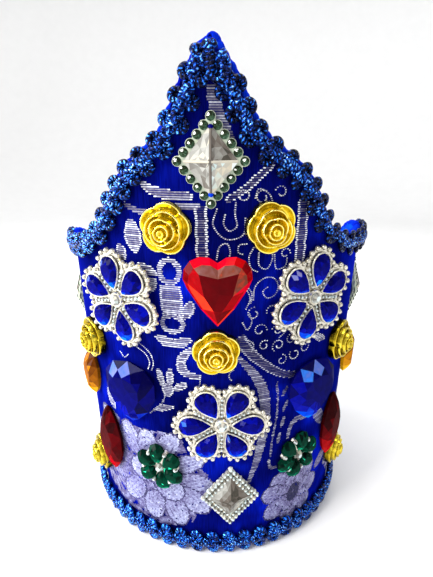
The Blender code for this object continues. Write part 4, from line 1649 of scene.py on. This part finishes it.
def build_blossoms(metal_material, glass):
    metal = blossom_metal()
    outline = pear_outline(PETAL_STONE_WIDTH, PETAL_STONE_LENGTH, 12, 1.0)
    for name, angle, height, turn in BLOSSOMS:
        chance = random.Random(name)
        place = seat(angle, height, turn)
        setting = (name + "_setting",)
        make_piece(name + "_metal", metal, metal_material, setting, place, 35.0)
        rhinestones = blossom_rhinestones(chance)
        make_piece(name + "_rhinestones", rhinestones, glass["clear"], (), place, 0.0)
        for petal in range(BLOSSOM_PETALS):
            petal_turn = 360 / BLOSSOM_PETALS * petal
            down = down_in(turn + petal_turn)
            # About half of the blossom's stones get painted highlight facets.
            highlight_from = PAINTED_HIGHLIGHT_FROM if chance.random() < 0.5 else NEVER_HIGHLIGHTED
            stone = cut_stone(outline, PETAL_STONE_HEIGHT, down, chance, *PETAL_STONE_CUT, highlight_from)
            petal_place = place @ spin(petal_turn) @ shift(0, PETAL_STONE_MIDDLE, PLATE_THICKNESS)
            node = f"{name}_stone_{petal + 1}"
            make_piece(node + "_cut", stone, glass["blue"], (node,), petal_place, 0.0)


# Diamonds.

LOZENGE_WIDTH = 0.0258
LOZENGE_HEIGHT = 0.0320
LOZENGE_THICKNESS = 0.0022
LOZENGE_BORDER = 0.0032
LOZENGE_BEADS = 5
LOZENGE_BEAD_RADIUS = 0.00172
LOZENGE_BEAD_INSET = 0.00165
LOZENGE_BEAD_FOOT = 0.0009
CRYSTAL_TONES = (
    # least and greatest tone of the facets on each side of the clear stone, painted reflections in it: upper
    # right, then to the left
    (0.08, 0.44),
    (0.40, 0.80),
    (0.24, 0.66),
    (0.56, 0.96),
)
PLATE_RINGS = (
    # inset of the outline, share of the thickness
    (0.0013, 0.0),
    (0.0010, 0.24),
    (0.0010, 0.64),
    (0.0014, 0.8),
    (LOZENGE_BORDER, 0.8),
    (LOZENGE_BORDER, 0.48),
)
RHINESTONE_ROWS = (
    # inset, stones to a side, radius
    (0.0011, 9, 0.00105),
    (0.0031, 7, 0.00090),
)
RHINESTONE_SIZES = (0.85, 1.15)
RHINESTONE_HEIGHT = 0.0015
RHINESTONE_FOOT = LOZENGE_THICKNESS - 0.0006
RHINESTONE_LIFT = 0.0004
STUD_RADIUS = 0.00085
STUD_HEIGHT = 0.0011
STUD_FOOT = 0.0024
STUD_INSET = 0.0006
CRYSTAL_FOOT = 0.0012
CRYSTAL_TOP = 0.0048
CRYSTAL_REACH = 4.6
CRYSTAL_UNEVENNESS = 0.10
CRYSTAL_TIP = 0.12
CRYSTAL_TIP_SINK = 0.0001
CRYSTAL_SHADE = 0.3
RIDGE_RADIUS = 0.00042
RIDGE_SHARES = (0.98, 0.04)
# Tone of the upright ridges, then of the level ones, whose higher tone is a painted highlight.
RIDGE_TONES = (0.24, 0.70)


def lozenge(inset):
    slant = math.hypot(LOZENGE_WIDTH, LOZENGE_HEIGHT)
    half_width = LOZENGE_WIDTH / 2 - inset * slant / LOZENGE_HEIGHT
    half_height = LOZENGE_HEIGHT / 2 - inset * slant / LOZENGE_WIDTH
    return [(half_width, 0.0), (0.0, half_height), (-half_width, 0.0), (0.0, -half_height)]


def side_points(corners, count):
    """Points along the sides between corners, count to a side with its first corner."""
    sides = [(x0, y0, x1 - x0, y1 - y0) for (x0, y0), (x1, y1) in pairs(corners)]
    steps = range(count)
    return [(x + dx * step / count, y + dy * step / count) for x, y, dx, dy in sides for step in steps]


def diamond_plate():
    rings = [(side_points(lozenge(inset), 4), share * LOZENGE_THICKNESS) for inset, share in PLATE_RINGS]
    points = [(x, y, rise) for outline, rise in rings for x, y in outline]
    return Shape(points, stack_faces(16, len(rings)), 0.80)


BALL_TONE = 0.30
BALL_SHADE = 0.26
BALL_SPREAD = 0.14
BALL_FOOT = 0.76
BALL_FOOT_TONE = 0.82
GLINT_RADIUS = 0.24


def ball(radius, chance):
    """Round glass stone: pale round its foot, darker towards the light and mint away from it where painted
    light gathers, with a painted glint.
    """
    bead = dome(radius, radius * 1.1, 12, 6)
    glint = chance.uniform(-0.5, -0.1), chance.uniform(0.1, 0.5)
    for i, face in enumerate(bead.faces):
        x, y = face_middle(bead.points, face, radius)
        # Painted light: darker on the side towards the light, mint where it gathers on the far side.
        shade = BALL_SHADE * (0.5 * x - 0.8 * y)
        bead.tones[i] = BALL_TONE + shade + chance.uniform(-BALL_SPREAD, BALL_SPREAD)
        if math.hypot(x, y) > BALL_FOOT:
            bead.tones[i] = BALL_FOOT_TONE
        # Painted glint.
        if math.dist((x, y), glint) < GLINT_RADIUS:
            bead.tones[i] = 1.0
    return bead


def diamond_beads(chance, is_fancy):
    """Round stones along the frame: large beads, or rows of small rhinestones."""
    beads = Shape()
    if is_fancy:
        for x, y in side_points(lozenge(LOZENGE_BEAD_INSET), LOZENGE_BEADS):
            beads.place(shift(x, y, LOZENGE_BEAD_FOOT), ball(LOZENGE_BEAD_RADIUS, chance))
        return beads
    for inset, count, radius in RHINESTONE_ROWS:
        for x, y in side_points(lozenge(inset), count):
            size = radius * chance.uniform(*RHINESTONE_SIZES)
            rise = RHINESTONE_FOOT + chance.uniform(0, RHINESTONE_LIFT)
            beads.place(shift(x, y, rise), round_stone(size, RHINESTONE_HEIGHT, chance, 6))
    return beads


def diamond_studs():
    """Small blue studs at the upper and the lower corner of the clear stone."""
    studs = Shape()
    stud = dome(STUD_RADIUS, STUD_HEIGHT, 10, 4)
    reach = lozenge(LOZENGE_BORDER)[1][1] - STUD_INSET
    for side, tone in ((1, 0.24), (-1, 0.60)):
        stud.tones = [tone] * len(stud.faces)
        studs.place(shift(0.0, side * reach, STUD_FOOT), stud)
    return studs


def diamond_stone(chance, is_fancy):
    """Pyramid of four sides with raised ridges, each side crossed by painted reflections of the facets
    behind it.
    """
    stone = Shape()
    corners = lozenge(LOZENGE_BORDER)
    for ((x0, y0), (x1, y1)), (low, high) in zip(pairs(corners), CRYSTAL_TONES):
        points, faces, tones = [], [], []
        for i in range(5):
            x, y = x0 + (x1 - x0) * i / 4, y0 + (y1 - y0) * i / 4
            for k in range(5):
                share = 1 - k / CRYSTAL_REACH
                flat = 1 - abs(share) if k < 4 else 0.9
                if 0 < i < 4 and 0 < k < 4:
                    share += CRYSTAL_UNEVENNESS * (chance.random() - 0.5)
                points.append((x * share, y * share, CRYSTAL_FOOT + flat * (CRYSTAL_TOP - CRYSTAL_FOOT)))
        for i in range(4):
            for k in range(4):
                a, b = i * 5 + k, (i + 1) * 5 + k
                crossed = [(a, b, a + 1), (b, b + 1, a + 1)]
                faces += [(a, b, b + 1), (a, b + 1, a + 1)] if (i + k) % 2 else crossed
                # Painted shade: the plain stone darkens towards its middle.
                fade = 1.0 if is_fancy else 0.9 - 0.2 * k
                tones += [chance.uniform(low, high) * fade for _ in range(2)]
        stone.add(points, faces, tones)
    skirt = [(x, y, rise) for rise in (0.0, CRYSTAL_FOOT) for x, y in corners]
    stone.add(skirt, stack_faces(4, 2, True, False), CRYSTAL_SHADE)
    tip = [(x * CRYSTAL_TIP, y * CRYSTAL_TIP, CRYSTAL_TOP - CRYSTAL_TIP_SINK) for x, y in corners]
    stone.add(tip, [(0, 1, 2, 3)], CRYSTAL_SHADE)
    shares = np.linspace(*RIDGE_SHARES, 8)
    rises = [(share, CRYSTAL_FOOT + (1 - share) * (CRYSTAL_TOP - CRYSTAL_FOOT)) for share in shares]
    for x, y in corners if is_fancy else ():
        ridge = wire([(x * share, y * share, rise) for share, rise in rises], RIDGE_RADIUS)
        stone.add(*ridge, RIDGE_TONES[y == 0])
    return stone


def build_diamonds(metal_material, glass):
    for name, angle, height in DIAMONDS:
        chance = random.Random(name)
        place = seat(angle, height)
        is_fancy = name != "diamond_bottom"
        frame_node, stone_node = name + "_frame", name + "_stone"
        coat = glass["bead"] if is_fancy else metal_material
        plate = diamond_plate()
        make_piece(frame_node + "_plate", plate, coat, (frame_node,), place, 35.0)
        beads = diamond_beads(chance, is_fancy)
        bead_glass = glass["bead" if is_fancy else "clear"]
        make_piece(name + "_beads", beads, bead_glass, (), place, 40.0 if is_fancy else 0.0)
        if is_fancy:
            make_piece(name + "_studs", diamond_studs(), glass["blue"], (), place, 40.0)
        stone = diamond_stone(chance, is_fancy)
        lift = place @ shift(0, 0, LOZENGE_THICKNESS * 0.6)
        make_piece(stone_node + "_cut", stone, glass["clear"], (stone_node,), lift, 0.0)


# Heart, drops and clusters.

HEART_SEED = 3
HEART_WIDTH = 0.0246
HEART_HEIGHT = 0.0262
HEART_DEPTH = 0.0068
HEART_LOBE_RADIUS = 0.0071
HEART_LOBE_STEPS = 6
HEART_BULGE = 0.0008
HEART_SIDE_SHADE = 0.12
HEART_OUTER_SPREAD = 0.05
HEART_INNER_SPREAD = 0.02
HEART_TABLE_TONE = 0.20
HEART_TABLE_SPREAD = 0.04


def heart_outline():
    """Outline of a heart about its middle: two round lobes, and full sides down to a point at -Y."""
    radius = HEART_LOBE_RADIUS
    lobe_x = HEART_WIDTH / 2 - radius
    lobe_y = HEART_HEIGHT / 2 - radius
    drop = lobe_y + HEART_HEIGHT / 2
    start = math.pi - math.acos(lobe_x / radius)
    end = math.atan2(drop, lobe_x) - math.asin(radius / math.hypot(lobe_x, drop)) - math.pi / 2
    right = []
    for step in range(1, HEART_LOBE_STEPS + 1):
        turn = start + (end - start) * step / HEART_LOBE_STEPS
        right.append((lobe_x + radius * math.cos(turn), lobe_y + radius * math.sin(turn)))
    last = right[-1]
    bulge = Vector((last[1] + HEART_HEIGHT / 2, -last[0])).normalized() * HEART_BULGE
    right.append((last[0] / 2 + bulge.x, (last[1] - HEART_HEIGHT / 2) / 2 + bulge.y))
    notch = (0.0, lobe_y + radius * math.sin(start))
    left = [(-x, y) for x, y in right]
    return [notch, *left, (0.0, -HEART_HEIGHT / 2), *reversed(right)]


HEART_TABLE = (
    # corners of the table from the notch to the left and its middle, in shares of the half width and height
    (0.0, 0.50), (-0.52, 0.62), (-0.38, 0.00), (-0.12, -0.40), (0.12, -0.42), (0.42, 0.02), (0.58, 0.64),
    (0.04, 0.08),
)
HEART_FACETS = (
    # for each side of the outline from the notch to the left: corner of the table, outer tone, inner tone;
    # the tones paint the light in the stone
    (0, 0.62, 0.91), (0, 0.63, 0.93), (1, 0.56, 0.92), (1, 0.34, 0.36), (1, 0.32, 0.40), (2, 0.32, 0.78),
    (2, 0.36, 0.80), (3, 0.56, 0.40), (3, 0.80, 0.28), (4, 0.62, 0.40), (5, 0.60, 0.62), (5, 0.36, 0.89),
    (6, 0.32, 0.89), (6, 0.42, 0.91), (6, 0.66, 0.90), (0, 0.58, 0.91),
)
HEART_RINGS = (
    # share of the outline, share of the depth
    (0.92, 0.0), (1.0, 0.30), (0.84, 0.70),
)


def heart_shape(chance):
    """Cut heart: a wide dark table like a shield, and long crown facets whose tones paint the light in the
    stone, the left ones glowing.
    """
    outline = heart_outline()
    sides = len(outline)
    points = [(x * share, y * share, rise * HEART_DEPTH) for share, rise in HEART_RINGS for x, y in outline]
    points += [(x * HEART_WIDTH / 2, y * HEART_HEIGHT / 2, HEART_DEPTH) for x, y in HEART_TABLE]
    first, middle = 3 * sides, len(points) - 1
    faces = [tuple(reversed(range(sides)))]
    tones = [BACK_TONE]
    for i, (corner, outer, inner) in enumerate(HEART_FACETS):
        j = (i + 1) % sides
        faces += [(low + i, low + j, low + sides + j, low + sides + i) for low in (0, sides)]
        face = [2 * sides + i, 2 * sides + j, first + HEART_FACETS[j][0], first + corner]
        faces.append(tuple(dict.fromkeys(face)))
        tones.append(outer - HEART_SIDE_SHADE)
        tones.append(outer + chance.uniform(-HEART_OUTER_SPREAD, HEART_OUTER_SPREAD))
        tones.append(inner + chance.uniform(-HEART_INNER_SPREAD, HEART_INNER_SPREAD))
    for corner in range(first, middle):
        faces.append((corner, corner + 1 if corner + 1 < middle else first, middle))
        tones.append(HEART_TABLE_TONE + chance.uniform(-HEART_TABLE_SPREAD, HEART_TABLE_SPREAD))
    return Shape(points, faces, tones)


def build_heart(glass):
    shape = heart_shape(random.Random(HEART_SEED))
    make_piece("heart_cut", shape, glass["red"], ("heart_stone",), seat(*HEART_PLACE), 0.0)


DROP_LIGHT = (-0.48, -0.88)
DROP_STYLES = {
    # glass: sides, share of the table, base tone, contrast, least turn to the light of a painted highlight
    # facet
    "blue": (12, 0.60, 0.20, 1.45, PAINTED_HIGHLIGHT_FROM),
    "amber": (12, 0.56, 0.28, 1.50, NEVER_HIGHLIGHTED),
    "red": (14, 0.56, 0.11, 1.15, NEVER_HIGHLIGHTED),
}
OVAL_SHARPNESS = 0.6
PEAR_SHARPNESS = 0.7


def build_drops(glass):
    for name, angle, height, width, length, depth, form, colour in DROPS:
        is_oval = form == "oval"
        sides, *style = DROP_STYLES[colour]
        outline = pear_outline(width, length, sides, OVAL_SHARPNESS if is_oval else PEAR_SHARPNESS, is_oval)
        shape = cut_stone(outline, depth, DROP_LIGHT, random.Random(name), *style)
        make_piece(name + "_cut", shape, glass[colour], (name,), seat(angle, height), 0.0)


CLUSTER_PETALS = 6
CLUSTER_REACH = 0.0066
CLUSTER_PETAL_OUTLINE = (0.0074, 0.0098, 10, 0.8)
CLUSTER_PETAL_HEIGHT = 0.0032
CLUSTER_PETAL_FOOT = 0.0004
CLUSTER_PETAL_CUT = (0.56, 0.27, 1.5, NEVER_HIGHLIGHTED)
CLUSTER_CUP = (0.0013, 0.0018, 8, 3)
CLUSTER_GEM_REACH = 0.0078
CLUSTER_GEM_FOOT = 0.0012
CLUSTER_GEM = (0.0011, 0.0014)
CLUSTER_MIDDLE_GEM_FOOT = 0.0014
CLUSTER_MIDDLE_GEM = (0.0019, 0.0018)
CLUSTER_PLATE_RADIUS = 0.0060
CLUSTER_PLATE = ((1.0, 0.0), (1.0, 0.0010), (0.9, 0.0014))


def build_clusters(metal_material, glass):
    outline = pear_outline(*CLUSTER_PETAL_OUTLINE)
    plate = stack(circle(CLUSTER_PLATE_RADIUS, 18), CLUSTER_PLATE)
    for name, angle, height, turn in CLUSTERS:
        chance = random.Random(name)
        place = seat(angle, height, turn)
        stones, cups, gems = Shape(), Shape(*plate), Shape()
        for petal in range(CLUSTER_PETALS):
            petal_turn = 360 / CLUSTER_PETALS * petal
            down = down_in(turn + petal_turn)
            stone = cut_stone(outline, CLUSTER_PETAL_HEIGHT, down, chance, *CLUSTER_PETAL_CUT)
            # Painted glint: one facet of each petal at full brightness.
            stone.tones[chance.randrange(1, len(stone.tones))] = 1.0
            stones.place(spin(petal_turn) @ shift(0, CLUSTER_REACH, CLUSTER_PETAL_FOOT), stone)
            half = spin(petal_turn + 30)
            cups.place(half @ shift(0, CLUSTER_GEM_REACH, 0.0), dome(*CLUSTER_CUP))
            gem = round_stone(*CLUSTER_GEM, chance)
            gems.place(half @ shift(0, CLUSTER_GEM_REACH, CLUSTER_GEM_FOOT), gem)
        middle_gem = round_stone(*CLUSTER_MIDDLE_GEM, chance)
        gems.place(shift(0, 0, CLUSTER_MIDDLE_GEM_FOOT), middle_gem)
        make_piece(name + "_petals", stones, glass["green"], (name,), place, 0.0)
        make_piece(name + "_cups", cups, metal_material, (), place, 35.0)
        make_piece(name + "_rhinestones", gems, glass["clear"], (), place, 0.0)


# Camera, floor and light.

CAMERA_PLACE = (0.0058, -0.2067, 0.172)
CAMERA_PITCH = 72.1
CAMERA_TURN = 1.6
CAMERA_LENS = 26.0


def build_camera():
    data = bpy.data.cameras.new("camera")
    data.lens = CAMERA_LENS
    data.sensor_width = 36.0
    data.clip_start = 0.01
    camera = bpy.data.objects.new("camera", data)
    camera.location = CAMERA_PLACE
    camera.rotation_euler = (math.radians(CAMERA_PITCH), 0.0, math.radians(CAMERA_TURN))
    bpy.context.scene.collection.objects.link(camera)
    bpy.context.scene.camera = camera


SWEEP_RADIUS = 1.0
SWEEP_BEND = 0.5
SWEEP_BEND_ROWS = 12
SWEEP_TOP = 1.3
SWEEP_SIDES = 96
FLOOR_SHADES = ((0.0, (0.80, 0.80, 0.80)), (1.0, (0.84, 0.84, 0.84)))


def build_floor():
    """Pale floor that curves up all round into a plain backdrop."""
    profile = [(0.001, 0.0), (SWEEP_RADIUS * 0.5, 0.0), (SWEEP_RADIUS, 0.0)]
    for step in range(1, SWEEP_BEND_ROWS + 1):
        lean = step / SWEEP_BEND_ROWS * math.pi / 2
        profile.append((SWEEP_RADIUS + SWEEP_BEND * math.sin(lean), SWEEP_BEND * (1 - math.cos(lean))))
    profile.append((SWEEP_RADIUS + SWEEP_BEND, SWEEP_TOP))
    points = [(x, y, rise) for reach, rise in profile for x, y in circle(reach, SWEEP_SIDES)]
    mesh = bpy.data.meshes.new("floor")
    mesh.from_pydata(points, [], stack_faces(SWEEP_SIDES, len(profile), False, False))
    mesh.flip_normals()
    mesh.shade_smooth()
    paint = Paint("floor")
    shade = paint.ramp(paint.noise(40.0), FLOOR_SHADES)
    mesh.materials.append(paint.finish({"Base Color": shade, "Roughness": 0.9, "Specular IOR Level": 0.0}))
    floor = bpy.data.objects.new("floor", mesh)
    bpy.context.scene.collection.objects.link(floor)
    floor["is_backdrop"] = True


WORLD_LIGHT = 0.60
LIGHT_AIM = Vector((0.0, 0.0, 0.10))
LIGHTS = (
    # name, place, size, power in watts, colour
    ("key", (-0.60, -0.45, 0.70), 0.40, 11.0, (1.0, 0.99, 0.97)),
    ("fill", (0.70, -0.60, 0.45), 0.60, 1.0, (0.95, 0.97, 1.0)),
    ("top", (0.0, 0.10, 0.95), 0.60, 6.0, (1.0, 1.0, 1.0)),
    ("left_rim", (-0.80, 0.08, 0.26), 0.40, 8.0, (0.96, 0.98, 1.0)),
)


def build_lights():
    for name, place, size, power, colour in LIGHTS:
        data = bpy.data.lights.new(name, "AREA")
        data.size = size
        data.energy = power
        data.color = colour
        light = bpy.data.objects.new(name, data)
        light.location = place
        light.rotation_euler = (LIGHT_AIM - Vector(place)).to_track_quat("-Z", "Y").to_euler()
        bpy.context.scene.collection.objects.link(light)
    world = bpy.data.worlds.new("studio")
    world.use_nodes = True
    background = world.node_tree.nodes["Background"]
    background.inputs["Color"].default_value = (1.0, 1.0, 1.0, 1.0)
    background.inputs["Strength"].default_value = WORLD_LIGHT
    bpy.context.scene.world = world
    bpy.context.scene.view_settings.view_transform = "Standard"


def main():
    build_camera()
    build_floor()
    build_lights()
    glass = {colour: cut_glass(colour) for colour in GLASS_STOPS}
    metal = champagne_metal()
    loops, plait, hem = (painted_glint_thread(name) for name in THREAD_STOPS)
    cloth = satin("satin", GROUND_BLUE)
    lining = satin("lining", LIT_LINING_BLUE)
    edge = satin("turned_edge", EDGE_BLUE)
    build_wall(cloth, lining)
    build_tuft(edge)
    figure_thread = silver_thread("silver_thread", SILVER_GREY)
    build_threads(figure_thread, silver_thread("flower_thread", SILVER_LAVENDER))
    build_top_braid(loops, plait, edge)
    build_fold(loops)
    build_hem_braid(hem, plait)
    build_roses(gold_leaf())
    build_blossoms(metal, glass)
    build_diamonds(metal, glass)
    build_heart(glass)
    build_drops(glass)
    build_clusters(metal, glass)
    sizes = [[list(map(float, corner)) for corner in box] for box in (cad_box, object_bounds())]


main()
